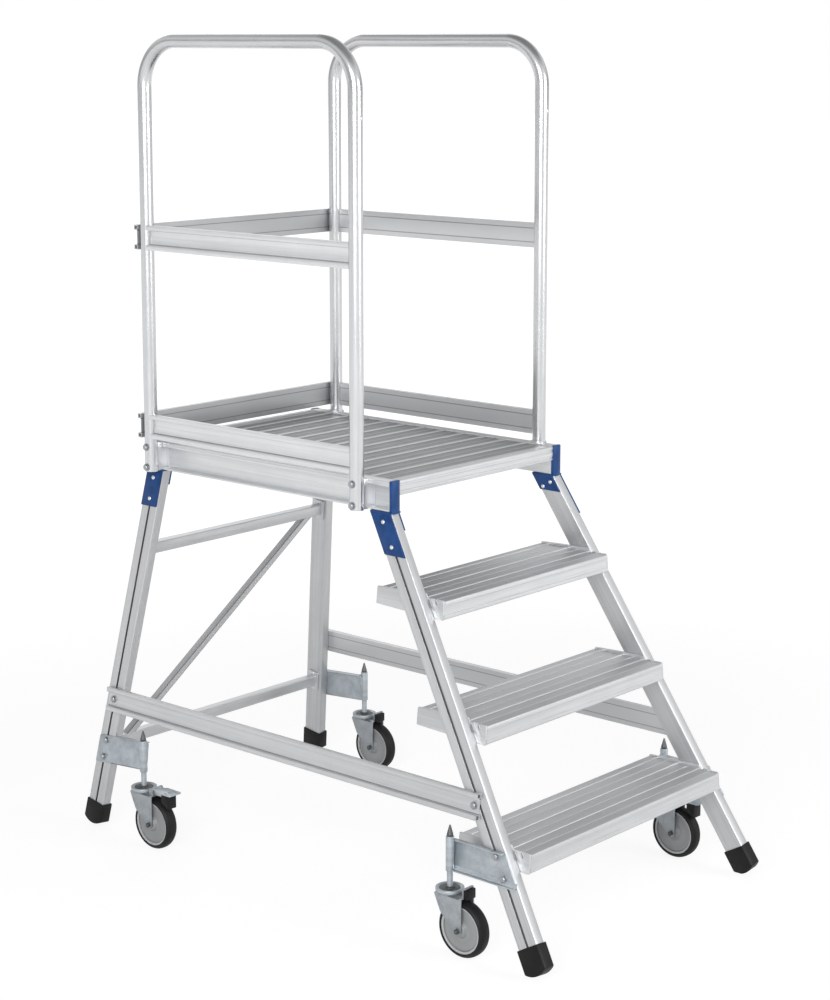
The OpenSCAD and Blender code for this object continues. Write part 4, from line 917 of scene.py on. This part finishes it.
spacers.piece("uprightSpacers", profileFinish, "frame", "profile_aluminium", "upright_spacers")
print("guardrail done")

brace = {"side": 318, "upper": 693, "lower": 205, "height": 28, "depth": 20, "corner": 2.2, "short": 2,
         "plateWidth": 36, "plateHeight": 52, "plate": 4, "plateCorner": 5, "diagonal": 18,
         "diagonalCorner": 1.8, "diagonalTop": 245, "diagonalLow": 305, "rivetUp": 20, "sideShort": 10}
level = upSide(lift + brace["side"])
frontY = tan(stileTurn) * level
rearAxis = rearSole - tan(rearTurn) * level
rearEnd = rearAxis + rearHalf - brace["sideShort"]
for label, side in sides:
    place = sideFrame @ shift(fit, rearEnd, level) @ backTurn
    Shell().add(bar(outline, 0, rearEnd - frontY, holes), place, side).piece(
        "sideBrace" + label.title(), braceFinish, "frame", "profile_aluminium", "side_brace_" + label)
for y in (frontY + stileHalf / 2, rearAxis):
    fasten("bolt", sideFrame, (board["wall"] + 2 * fit, y, level), (1, 0, 0))


def legInside(matrix, margin):
    # distance along local z, which is world x, at which a rear brace meets the leg's inner face
    def cut(x, y):
        p = matrix @ Vector((x, y, 0))
        return faceX(p.z) - (legDepth + margin) / cos(splay)
    return cut


w, h = brace["plateWidth"] / 2, brace["plateHeight"] / 2
deep, tall = brace["depth"] / 2, brace["height"] / 2
plateX = -legDepth - fit - brace["plate"]
for name, node, height in (("rearBraceUpper", "rear_brace_upper", brace["upper"]),
                           ("rearBraceLower", "rear_brace_lower", brace["lower"])):
    place = rearPlane @ shift(0, 0, height / cos(rearLean)) @ acrossTurn
    end = legInside(place, fit + brace["short"])
    section = boxOutline(-deep, -tall, deep, tall, brace["corner"])
    shell = Shell().add(bar(section, opposite(end), end), place)
    up = along(rearLegFrame, lift + height + (legDepth + brace["plate"]) * sin(splay))
    for label, side in sides:
        plate = soften(bar(boxOutline(-w, -h, w, h, brace["plateCorner"]), 0, brace["plate"]), edge["thick"])
        shell.add(plate, rearLegFrame @ shift(plateX, 0, up) @ acrossTurn, side, along=1)
    shell.piece(name, plateFinish, "frame", "plate_aluminium", node)
    for sign in (-1, 1):
        fasten("rivet", rearLegFrame, (plateX, 0, up + sign * brace["rivetUp"]), (-1, 0, 0))
lowZ = brace["lower"] / cos(rearLean) + brace["height"] / 2
highZ = brace["upper"] / cos(rearLean) - brace["height"] / 2
slope = atan2(highZ - lowZ, brace["diagonalTop"] + brace["diagonalLow"])
place = rearPlane @ shift((brace["diagonalTop"] - brace["diagonalLow"]) / 2, 0, (lowZ + highZ) / 2) \
    @ Matrix.Rotation(-slope, 4, "Y") @ lieTurn
size = brace["diagonal"] / 2
inPlane = rearPlane.inverted() @ place  # the diagonal's ends are level in the rear plane
diagonal = bar(boxOutline(-size, -size, size, size, brace["diagonalCorner"]),
               levelCut(inPlane, lowZ + fit), levelCut(inPlane, highZ - fit))
Shell().add(diagonal, place).piece(
    "rearDiagonal", diagonalFinish, "frame", "plate_aluminium", "rear_diagonal")
print("braces done")

castor = {"wheel": 125, "tyre": 32, "tyreThick": 10, "shoulder": 7, "hub": 32, "hubWidth": 36, "hubGap": 1,
          "disc": 22, "rim": 28, "axle": 10, "nut": 13, "nutHeight": 6, "nutEdge": 0.9, "trail": 40,
          "plate": 3, "endRadius": 9, "cornerBack": 48, "cornerUp": 30, "cornerRadius": 30, "crownBack": 26,
          "crownGap": 7, "crownFrontCorner": 6, "crownRearCorner": 14, "race": 56, "raceHeight": 3,
          "slip": 0.4, "head": 62, "headRim": 7, "headRimWidth": 4, "headFloor": 3, "collar": 24,
          "collarHeight": 9, "pin": 14, "pinHead": 11, "pinHeadHeight": 4, "stem": 13, "rod": 6, "stemIn": 27,
          "play": 0.05, "guide": 77, "guideWall": 2.5, "cap": 6, "tip": 14, "tipFoot": 4, "tipHeight": 24,
          "tipEnd": 3, "room": 23, "reachFront": 128, "reachRear": 150, "out": 13, "bracket": 68,
          "bracketPlate": 3, "fold": 14, "foldSink": 1.2, "foldSlope": 12, "foldRun": 5, "webSink": 0.6,
          "boltLow": 14, "boltHigh": 12, "drop": 12, "turns": 8, "wire": 1.6}
brake = {"reach": 112, "width": 40, "plate": 3, "neck": 14, "turn": 10, "ahead": 3, "up": 11, "pin": 6,
         "pinOut": 1.5, "knuckle": 12, "ear": 14, "earPlate": 4, "blockRear": 36, "blockFront": 14,
         "blockDrop": 22, "blockEdge": 1.0, "flange": 8, "ribs": 4, "ribFrom": 6, "ribPitch": 5.5,
         "ribWidth": 2.2, "ribHeight": 1.1, "ribIn": 5, "ribEdge": 0.5, "stop": 11, "stopHeight": 22,
         "stopEdge": 1.6, "tab": 3}
wheelR = castor["wheel"] / 2
tyreIn = wheelR - castor["tyreThick"]
trail = castor["trail"]
crownZ = castor["wheel"] + castor["crownGap"]
crownTop = crownZ + castor["plate"]
crownFront, crownRear = -trail - castor["endRadius"], castor["crownBack"]
raceZ = crownTop + castor["raceHeight"]
headZ = raceZ + castor["slip"]
neckZ = headZ + castor["collarHeight"]
guideZ = neckZ + lift + castor["room"]
guideTop = guideZ + castor["guide"]
guideIn = castor["stem"] / 2 + castor["play"]
guideR = guideIn + castor["guideWall"]
shoulderZ = guideZ + castor["stemIn"]
forkX = castor["hubWidth"] / 2 + castor["hubGap"]
forkHalf = forkX + castor["plate"]
pivotY, pivotZ = -trail - brake["ahead"], crownTop + brake["up"]
bracketMiddle = guideZ + castor["bracket"] / 2
castorX = faceX(bracketMiddle) + castor["out"]
castorY = {"front": stileY(bracketMiddle) + castor["reachFront"],
           "rear": rearY(bracketMiddle) - castor["reachRear"]}


def legEdge(front, up, ahead):
    if front:
        return tan(stileTurn) * up + ahead * stileHalf
    return rearSole - tan(rearTurn) * up - ahead * rearHalf


def castorBracket(front, outward, y):
    # a plate on the leg with folded edges, a web at its end and the upright guide tube
    c, t = castor, castor["bracketPlate"]
    slope = 0 if front else c["drop"] / c["reachRear"]
    low = upSide(guideZ)
    high = low + c["bracket"]
    flat = sideFrame @ shift(fit, 0, 0) @ acrossTurn
    toLeg = -1 if front else 1
    end = y + toLeg * (guideR - c["foldSink"])

    def fall(place, up):
        return place, up - (place - y) * slope

    def strip(start, bottom, top):
        return [fall(start, bottom), fall(end, bottom), fall(end, top), fall(start, top)]

    def slant(place, up):
        above = up + (place - y) * slope - low
        return t + c["foldRun"] * (1 - above / c["foldSlope"]) + 0.1

    outline = [(*fall(legEdge(front, low, -1), low), 4), (*fall(legEdge(front, high, -1), high), 4),
               (y, high, 1), (y, low, 6)]
    parts = [(soften(bar(rounded(outline, 4), 0, t), edge["thin"]), flat, 0)]
    x = 0 if outward else t - c["fold"]
    for s in (low, high - t):
        start = legEdge(front, s, -1 if outward else 1) - toLeg * t
        parts.append((soften(bar(strip(start, s, s + t), x, x + c["fold"]), edge["plate"]), flat, 0))
        if outward and s == low:
            # the lower fold rises to the plate in a slope that catches the light
            parts.append((bar(strip(start, s + 1, s + c["foldSlope"]), t / 2, slant), flat, 0))
    # web between the plate's end and the tube, which stands upright beside the leaning plate
    lean = tan(splay) * c["bracket"] / 2
    wall = c["out"] - guideR + c["webSink"]
    web = bar([(0, low + t), (wall - lean, low + t), (wall + lean, high - t), (0, high - t)], 0, t)
    parts.append((web, sideFrame @ shift(fit, y + t / 2, 0) @ backTurn, 1))
    inside, capZ = c["rod"] / 2 + c["play"], guideTop - c["cap"]
    tube = lathe(rounded([(guideIn, guideZ, 0.4), (guideR, guideZ, 0.8), (guideR, guideTop, 1.6),
                          (inside, guideTop, 0.6), (inside, capZ, 0.2), (guideIn, capZ, 0.2)], 3), 48)
    parts.append((tube, placed @ shift(castorX, y, 0), 2))
    return parts


def stemShape():
    # king pin, dished swivel head, sliding stem and the rod that carries the pointed nut
    c = castor
    pinEnd, nutZ = crownZ - c["slip"], guideTop + fit
    pin, stem, rod, collar = c["pin"] / 2, c["stem"] / 2, c["rod"] / 2, c["collar"] / 2
    rim, inner = c["head"] / 2, c["head"] / 2 - c["headRimWidth"]
    floor, rimZ, low = headZ + c["headFloor"], headZ + c["headRim"], pinEnd - c["pinHeadHeight"]
    return lathe([(0, low)] + rounded([
        (c["pinHead"], low, 1.5), (c["pinHead"], pinEnd, 0.3), (pin, pinEnd, 0.2), (pin, headZ, 0.2),
        (rim, headZ, 0.8), (rim, rimZ, 1.4), (inner, rimZ, 1.4), (inner - 5, floor + 1.5, 3),
        (collar, floor, 1), (collar, floor + 1, 0.3), (stem, floor + 1, 0.5), (stem, shoulderZ, 0.6),
        (rod, shoulderZ, 0.3), (rod, nutZ + 1, 0.2), (0, nutZ + 1)], 4))


def tipShape():
    foot, end, low = castor["tip"] / 2, castor["tipEnd"] / 2, guideTop + fit
    top = low + castor["tipHeight"]
    return lathe(rounded([(0, low), (foot, low, 0.5), (foot, low + castor["tipFoot"], 0.8), (end, top, 0.6),
                          (0, top)], 4), 40)


def collarShape():
    # a collar on a wide dark washer that fills the dish; the washer's darkness is partly painted shade in the
    # dish
    inside, outside = castor["stem"] / 2 + 0.1, castor["collar"] / 2
    low = headZ + castor["headFloor"] + 1.1
    washer = castor["head"] / 2 - castor["headRimWidth"] - 4
    return lathe(rounded([(inside, low, 0.2), (washer, low, 0.3), (washer, low + 1, 0.4),
                          (outside, low + 1.4, 0.4), (outside, neckZ - 2, 1), (outside - 3, neckZ, 1),
                          (inside, neckZ, 0.3)], 3), 40)


def forkLegOutline():
    # y and z: upright at the front, a rounded corner at the rear, a round end about the axle
    radius, steps = castor["endRadius"], 16
    axleAt, bend = Vector((-trail, wheelR)), Vector((castor["cornerBack"], castor["cornerUp"]))
    turn = atan2(bend.y, bend.x) - acos(radius / bend.length)
    tangent = axleAt + radius * Vector((cos(turn), sin(turn)))
    points = [(*(axleAt + bend), castor["cornerRadius"]), (crownRear, crownTop - 3, 2),
              (crownRear - 3, crownTop, 2), (crownFront + 3, crownTop, 2), (crownFront, crownTop - 3, 2),
              (crownFront, wheelR + 1), tuple(tangent)]
    outline = rounded(points, 5)[:-2]
    for k in range(steps + 1):
        angle = pi + (turn + pi) * k / steps
        outline.append(axleAt + radius * Vector((cos(angle), sin(angle))))
    return outline


def forkParts(braked):
    # crown, two legs and the lower race; ears and a pin for a pedal, or a tab for the stop block
    c, b, t = castor, brake, castor["plate"]
    crown = rounded([(-forkHalf, crownFront, c["crownFrontCorner"]),
                     (forkHalf, crownFront, c["crownFrontCorner"]),
                     (forkHalf, crownRear, c["crownRearCorner"]),
                     (-forkHalf, crownRear, c["crownRearCorner"])], 6)
    parts = [(soften(bar(crown, crownZ, crownTop), edge["thick"]), Matrix(), 1)]
    for x in (-forkHalf, forkX):
        parts.append((soften(bar(forkLegOutline(), 0, t), edge["plate"]), shift(x, 0, 0) @ acrossTurn, 1))
    race, pin, low = c["race"] / 2, c["pin"] / 2 + c["play"], crownTop - 1
    lower = lathe(rounded([(pin, low, 0.2), (race - 2, low, 0.3), (race, crownTop + 1, 0.8),
                           (race, raceZ, 0.8), (pin, raceZ, 0.3)], 3))
    parts.append((lower, Matrix(), 2))
    if braked:
        r, steps = b["knuckle"] / 2, 12
        arc = [pi * k / steps for k in range(steps + 1)]
        ear = [(pivotY - r, low), (pivotY + r, low)]
        ear += [(pivotY + r * cos(a), pivotZ + r * sin(a)) for a in arc]
        for x in (-b["ear"] - b["earPlate"], b["ear"]):
            parts.append((soften(bar(ear, 0, b["earPlate"]), edge["thin"]), shift(x, 0, 0) @ acrossTurn, 1))
        end, r = b["ear"] + b["earPlate"] + b["pinOut"], b["pin"] / 2
        pin = lathe([(0, -end), (r - 0.8, -end), (r, 0.8 - end), (r, end - 0.8), (r - 0.8, end),
                     (0, end)], 24)
        parts.append((pin, shift(0, pivotY, pivotZ) @ lieTurn, 2))
    else:
        top, t = crownZ + b["stopHeight"], b["tab"]
        lip = crownFront - b["stop"] / 2
        tab = rounded([(crownFront + t, low), (crownFront + t, top + t, 4), (lip, top + t, 0.8),
                       (lip, top, 0.8), (crownFront, top, 1.5), (crownFront, low)], 4)
        parts.append((soften(bar(tab, -b["ear"], b["ear"]), edge["thin"]), acrossTurn, 2))
    return parts


def axleParts():
    # the axle with its stepped ends, and a hexagonal nut on each
    c, place = castor, shift(0, -trail, wheelR) @ lieTurn
    reach, r = forkHalf + fit, c["axle"] / 2
    end = reach + c["nutHeight"] + 2
    axle = lathe([(0, -end), (r - 2, -end), (r - 1, 1 - end), (r - 1, -reach), (r, -reach), (r, reach),
                  (r - 1, reach), (r - 1, end - 1), (r - 2, end), (0, end)], 24)
    parts = [(axle, place, 2)]
    for x in (-reach - c["nutHeight"], reach):
        nut = soften(bar(circle(c["nut"] / 2, 6), 0, c["nutHeight"]), c["nutEdge"])
        parts.append((nut, shift(x, 0, 0) @ place, 2))
    return parts


def wheelShape():
    # bore, hub, flat disc and a raised rim, the same on both sides
    c = castor
    bore, hub, disc, rim = c["axle"] / 2 + c["play"], c["hub"] / 2, c["disc"] / 2, c["rim"] / 2
    outer, end = tyreIn - fit, c["hubWidth"] / 2
    right = [(hub - 3, end, 2), (hub, disc + 3, 3), (hub + 3, disc, 3), (outer - 8, disc, 2),
             (outer - 6, disc - 1.5, 1.5), (outer - 4.5, rim - 0.5, 0.8), (outer - 3.5, rim, 0.8),
             (outer, rim, 0.8)]
    left = [(r, -z, f) for r, z, f in right[::-1]]
    return lathe(rounded([(bore, -end, 0.6), (bore, end, 0.6)] + right + left, 3), 72)


def tyreShape():
    # the tread falls away to the shoulders with the cube of the distance from the middle
    w, steps = castor["tyre"] / 2, 16
    places = [1 - 2 * k / steps for k in range(steps + 1)]
    crest = [(wheelR - castor["shoulder"] * abs(u) ** 3, w * u) for u in places]
    return lathe([(tyreIn, w)] + crest + [(tyreIn, -w)], 80)


def pedalParts():
    # about the pivot: a plate that widens to the tip, flanges, grip ribs and the knuckle
    b, t = brake, brake["plate"]
    h, w, r = b["ear"] - castor["slip"], b["width"] / 2, b["knuckle"] / 2
    tip, wide, bore = -b["reach"] - pivotY, -r - b["neck"], b["pin"] / 2 + castor["play"]
    neck = wide + b["neck"] / 2
    outline = rounded([(-h, 0), (-h, neck, 4), (-w, wide, 5), (-w, tip, 6), (w, tip, 6), (w, wide, 5),
                       (h, neck, 4), (h, 0)], 4)
    parts = [(soften(bar(outline, 0, t), edge["thick"]), Matrix(), 1)]
    flangeEnd = fit - trail - b["blockRear"] - pivotY
    for x in (-h, h - t):
        parts.append((block(x, flangeEnd, -b["flange"], x + t, -r / 2, t / 2, edge["thin"]), Matrix(), 1))
    for k in range(b["ribs"]):
        y, inset = tip + b["ribFrom"] + b["ribPitch"] * k, w - b["ribIn"]
        rib = block(-inset, y, t - 0.6, inset, y + b["ribWidth"], t + b["ribHeight"], b["ribEdge"])
        parts.append((rib, Matrix(), 0))
    knuckle = lathe(rounded([(bore, -h, 0.3), (r, -h, 1), (r, h, 1), (bore, h, 0.3)], 3), 32)
    parts.append((knuckle, lieTurn, 2))
    return parts


def brakeBlockShape():
    # y and z outline with the tyre's curve underneath, as it lies when the pedal is pressed
    rear = -trail - brake["blockRear"] - pivotY
    front = brake["blockFront"] - brake["reach"] - pivotY
    low, steps = crownZ - brake["blockDrop"] - pivotZ, 12
    turn = radians(brake["turn"])
    ahead, drop = brake["ahead"], wheelR - pivotZ
    cy = ahead * cos(turn) + drop * sin(turn)
    cz = drop * cos(turn) - ahead * sin(turn)
    r = wheelR + castor["slip"]
    outline = [(front, -fit), (front, low)]
    for k in range(steps + 1):
        y = front + (rear - front) * k / steps
        inside = r * r - (y - cy) ** 2
        z = cz + sqrt(inside) if inside > 0 else low
        outline.append((y, min(max(low, z), -fit - 2)))
    outline.append((rear, -fit))
    clean = [outline[0]]
    for p in outline[1:]:
        if (Vector(p) - Vector(clean[-1])).length > 0.05:
            clean.append(p)
    return soften(bar(clean, -brake["ear"], brake["ear"]), brake["blockEdge"])


def stopBlockShape():
    front, w = crownFront - fit - brake["stop"], brake["ear"]
    top = crownZ + brake["stopHeight"] - fit
    return block(-w, front, crownZ, w, front + brake["stop"], top, brake["stopEdge"])


springs = springTree()
castorList = [("front", "left", -1, True, False), ("front", "right", 1, False, True),
              ("rear", "left", -1, False, True), ("rear", "right", 1, True, False)]
for end, label, side, outward, braked in castorList:
    y = castorY[end]
    name, tail = f"{end}_{label}", end.title() + label.title()
    plunger, swivel, roller, pedal = (f"{body}_{name}" for body in ("plunger", "swivel", "roller", "pedal"))
    place = placed @ shift(castorX, y, 0)
    hub, pivot = place @ shift(0, -trail, wheelR) @ lieTurn, place @ shift(0, pivotY, pivotZ)
    Shell().addAll(castorBracket(end == "front", outward, y), Matrix(), side).piece(
        "castorBracket" + tail, zincFinish, "frame", "zinc_steel", "castor_bracket_" + name)
    Shell().add(stemShape(), place, side).piece(
        "stem" + tail, zincFinish, plunger, "zinc_steel", "stem_" + name)
    Shell().add(tipShape(), place, side).piece("tip" + tail, darkFinish, plunger, "bolt_steel")
    # the collar's wide dark washer partly stands in for shade in the dish: painted shade
    Shell().add(collarShape(), place, side).piece("collar" + tail, darkFinish, plunger, "bolt_steel")
    Shell().addAll(forkParts(braked), place, side).piece(
        "fork" + tail, forkFinish, swivel, "zinc_steel", "fork_" + name)
    Shell().addAll(axleParts(), place, side).piece("axle" + tail, darkFinish, swivel, "bolt_steel")
    Shell().add(wheelShape(), hub, side).piece(
        "wheel" + tail, wheelFinish, roller, "wheel_plastic", "wheel_" + name)
    Shell().add(tyreShape(), hub, side).piece(
        "tyre" + tail, tyreFinish, roller, "tyre_rubber", "tyre_" + name)
    if braked:
        Shell().addAll(pedalParts(), pivot, side).piece(
            "brakePedal" + tail, zincFinish, pedal, "zinc_steel", "brake_" + name)
        Shell().add(brakeBlockShape(), pivot @ acrossTurn, side).piece(
            "brakeBlock" + tail, rubberFinish, pedal, "black_rubber")
    else:
        Shell().add(stopBlockShape(), place, side).piece(
            "stopBlock" + tail, rubberFinish, swivel, "black_rubber")
    top, wire = guideTop - castor["cap"], castor["wire"] / 2
    low, high = shoulderZ + fit + wire, top - fit - wire
    spot = place @ Vector((0, 0, low))
    mesh = grow("spring" + tail, springs, bpy.data.meshes.new("coil"), {
        "Turns": float(castor["turns"]), "Radius": (castor["stem"] + castor["rod"]) / 4 * mm,
        "Height": (high - low) * mm, "Wire": wire * mm,
        "Place": (spot.x * side * mm, spot.y * mm, spot.z * mm), "Finish": springFinish})
    coil = dress(bpy.data.objects.new("spring" + tail, mesh), "frame", ["spring_" + name])
    "plunger_slide_" + name
    castorX * side * mm
    (y - yMid) * mm
    top * mm
    (top - shoulderZ - lift) / (top - shoulderZ)
    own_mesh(coil)
for place, drop in ((stileFrame, 0), (rearLegFrame, castor["drop"])):
    for z in (guideZ + castor["boltLow"], guideZ + castor["bracket"] - castor["boltHigh"]):
        fasten("bolt", place, (castor["bracketPlate"] + 2 * fit, 0, along(place, z - drop)), (1, 0, 0))
print("castors done")

heads = {"rivet": {"radius": 5, "height": 2.3}, "bolt": {"radius": 7.4, "height": 6}}
for kind, makeHead, finish, slot, node in (("rivet", rivetHead, rivetFinish, "rivet_aluminium", "rivets"),
                                           ("bolt", boltHead, boltFinish, "bolt_steel", "bolts")):
    spots = bpy.data.meshes.new(kind + " places")
    spots.from_pydata([p for p, d in fasteners[kind]], [], [])
    facing = spots.attributes.new("facing", "FLOAT_VECTOR", "POINT")
    facing.data.foreach_set("vector", [c for p, d in fasteners[kind] for c in d])
    size = heads[kind]
    mesh = grow(kind + "Heads", headTree(kind + " heads", makeHead), spots,
                {"Radius": size["radius"] * mm, "Height": size["height"] * mm, "Finish": finish})
    mesh.set_sharp_from_angle(angle=radians(35))
    dress(bpy.data.objects.new(kind + "Heads", mesh), "frame", [node])
    print(kind, "heads:", len(fasteners[kind]))

# floor and room: what the camera sees, what metal mirrors, and what lights the object
studio = {"floorSize": 40, "floor": 0.9, "glow": 1.1, "near": 0.80, "fade": (1.2, 4.5), "mirrorNear": 0.35,
          "mirrorFade": (0.6, 3.5), "skyLow": 0.48, "skyMiddle": 0.86, "skyTop": 0.22,
          "wallSpan": (0.10, 0.38), "ceilingSpan": (0.5, 0.9), "sky": 0.26}
lamps = {"key": {"place": (-4.4, -2.4, 2.6), "target": (0, 0, 0.9), "size": (3.0, 2.6), "power": 172},
         "front": {"place": (1.2, -5.0, 2.2), "target": (0, 0, 0.8), "size": (2.4, 2.0), "power": 110},
         "back": {"place": (2.4, 3.6, 3.4), "target": (0, 0, 1.0), "size": (2.4, 1.6), "power": 14}}
view = {"place": (-3793.4, -2660.2, 1923.2), "tilt": 80.678, "turn": -48.533, "lens": 80.05, "sensor": 36,
        "shiftY": -0.10, "far": 100}


def makeStage():
    bm = bmesh.new()
    bmesh.ops.create_grid(bm, x_segments=1, y_segments=1, size=studio["floorSize"])
    mesh = bpy.data.meshes.new("floor")
    bm.to_mesh(mesh)
    bm.free()
    floor = bpy.data.objects.new("floor", mesh)
    scene.collection.objects.link(floor)
    material = bpy.data.materials.new("pale floor")
    material.use_nodes = True
    tree = material.node_tree
    tree.nodes.clear()
    ink = Wire(tree)
    rays = tree.nodes.new("ShaderNodeLightPath")
    camera, shiny = Wire(tree, rays.outputs["Is Camera Ray"]), Wire(tree, rays.outputs["Is Glossy Ray"])
    place = ink.node("ShaderNodeTexCoord", out=3)
    away = ink.node("ShaderNodeVectorMath", {"operation": "LENGTH"}, {0: place}, out=1)
    seen = studio["near"] + (1 - studio["near"]) * window(ink, away, *studio["fade"])
    mirrored = studio["mirrorNear"] + (1 - studio["mirrorNear"]) * window(ink, away, *studio["mirrorFade"])
    fade = ink.math("MAXIMUM", camera * seen, shiny * mirrored)
    matt = ink.node("ShaderNodeBsdfDiffuse", None, {"Color": (studio["floor"],) * 3 + (1,)})
    glow = ink.node("ShaderNodeEmission", None, {"Color": (1, 1, 1, 1), "Strength": studio["glow"]})
    both = ink.node("ShaderNodeMixShader", None, {0: fade, 1: matt, 2: glow})
    both.into(tree.nodes.new("ShaderNodeOutputMaterial").inputs["Surface"])
    mesh.materials.append(material)


def makeWorld():
    # the camera sees white, reflections see white walls under a duller ceiling
    world = bpy.data.worlds.new("studio")
    scene.world = world
    world.use_nodes = True
    tree = world.node_tree
    tree.nodes.clear()
    ink = Wire(tree)
    rays = tree.nodes.new("ShaderNodeLightPath")
    camera, glossy, through = (Wire(tree, rays.outputs[f"Is {kind} Ray"])
                               for kind in ("Camera", "Glossy", "Transmission"))
    shiny = ink.math("MAXIMUM", glossy, through)
    up = ink.node("ShaderNodeSeparateXYZ", None, {"Vector": ink.node("ShaderNodeTexCoord")}, out=2)
    rise = studio["skyMiddle"] - studio["skyLow"]
    wall = studio["skyLow"] + rise * window(ink, up, *studio["wallSpan"])
    ceiling = window(ink, up, *studio["ceilingSpan"])
    room = (1 - ceiling) * wall + ceiling * studio["skyTop"]
    level = shiny * room + (1 - shiny) * studio["sky"]
    level = camera + (1 - camera) * level
    light = ink.node("ShaderNodeBackground", None, {"Color": (1, 1, 1, 1), "Strength": level})
    light.into(tree.nodes.new("ShaderNodeOutputWorld").inputs["Surface"])


def makeLamp(name, place, target, size, power):
    lamp = bpy.data.lights.new(name, "AREA")
    lamp.shape = "RECTANGLE"
    lamp.size, lamp.size_y = size
    lamp.energy = power
    holder = bpy.data.objects.new(name, lamp)
    holder.location = place
    holder.rotation_euler = (Vector(target) - Vector(place)).to_track_quat("-Z", "Y").to_euler()
    scene.collection.objects.link(holder)


makeStage()
makeWorld()
for name, lamp in lamps.items():
    makeLamp(name, **lamp)
camera = bpy.data.cameras.new("camera")
camera.lens = view["lens"]
camera.sensor_width = view["sensor"]
camera.shift_y = view["shiftY"]
camera.clip_end = view["far"]
holder = bpy.data.objects.new("camera", camera)
holder.location = (placed @ Vector(view["place"])) * mm
holder.rotation_euler = (radians(view["tilt"]), 0, radians(view["turn"]))
scene.collection.objects.link(holder)
scene.camera = holder
scene.view_settings.view_transform = "Standard"
print("stage, lamps and camera set")
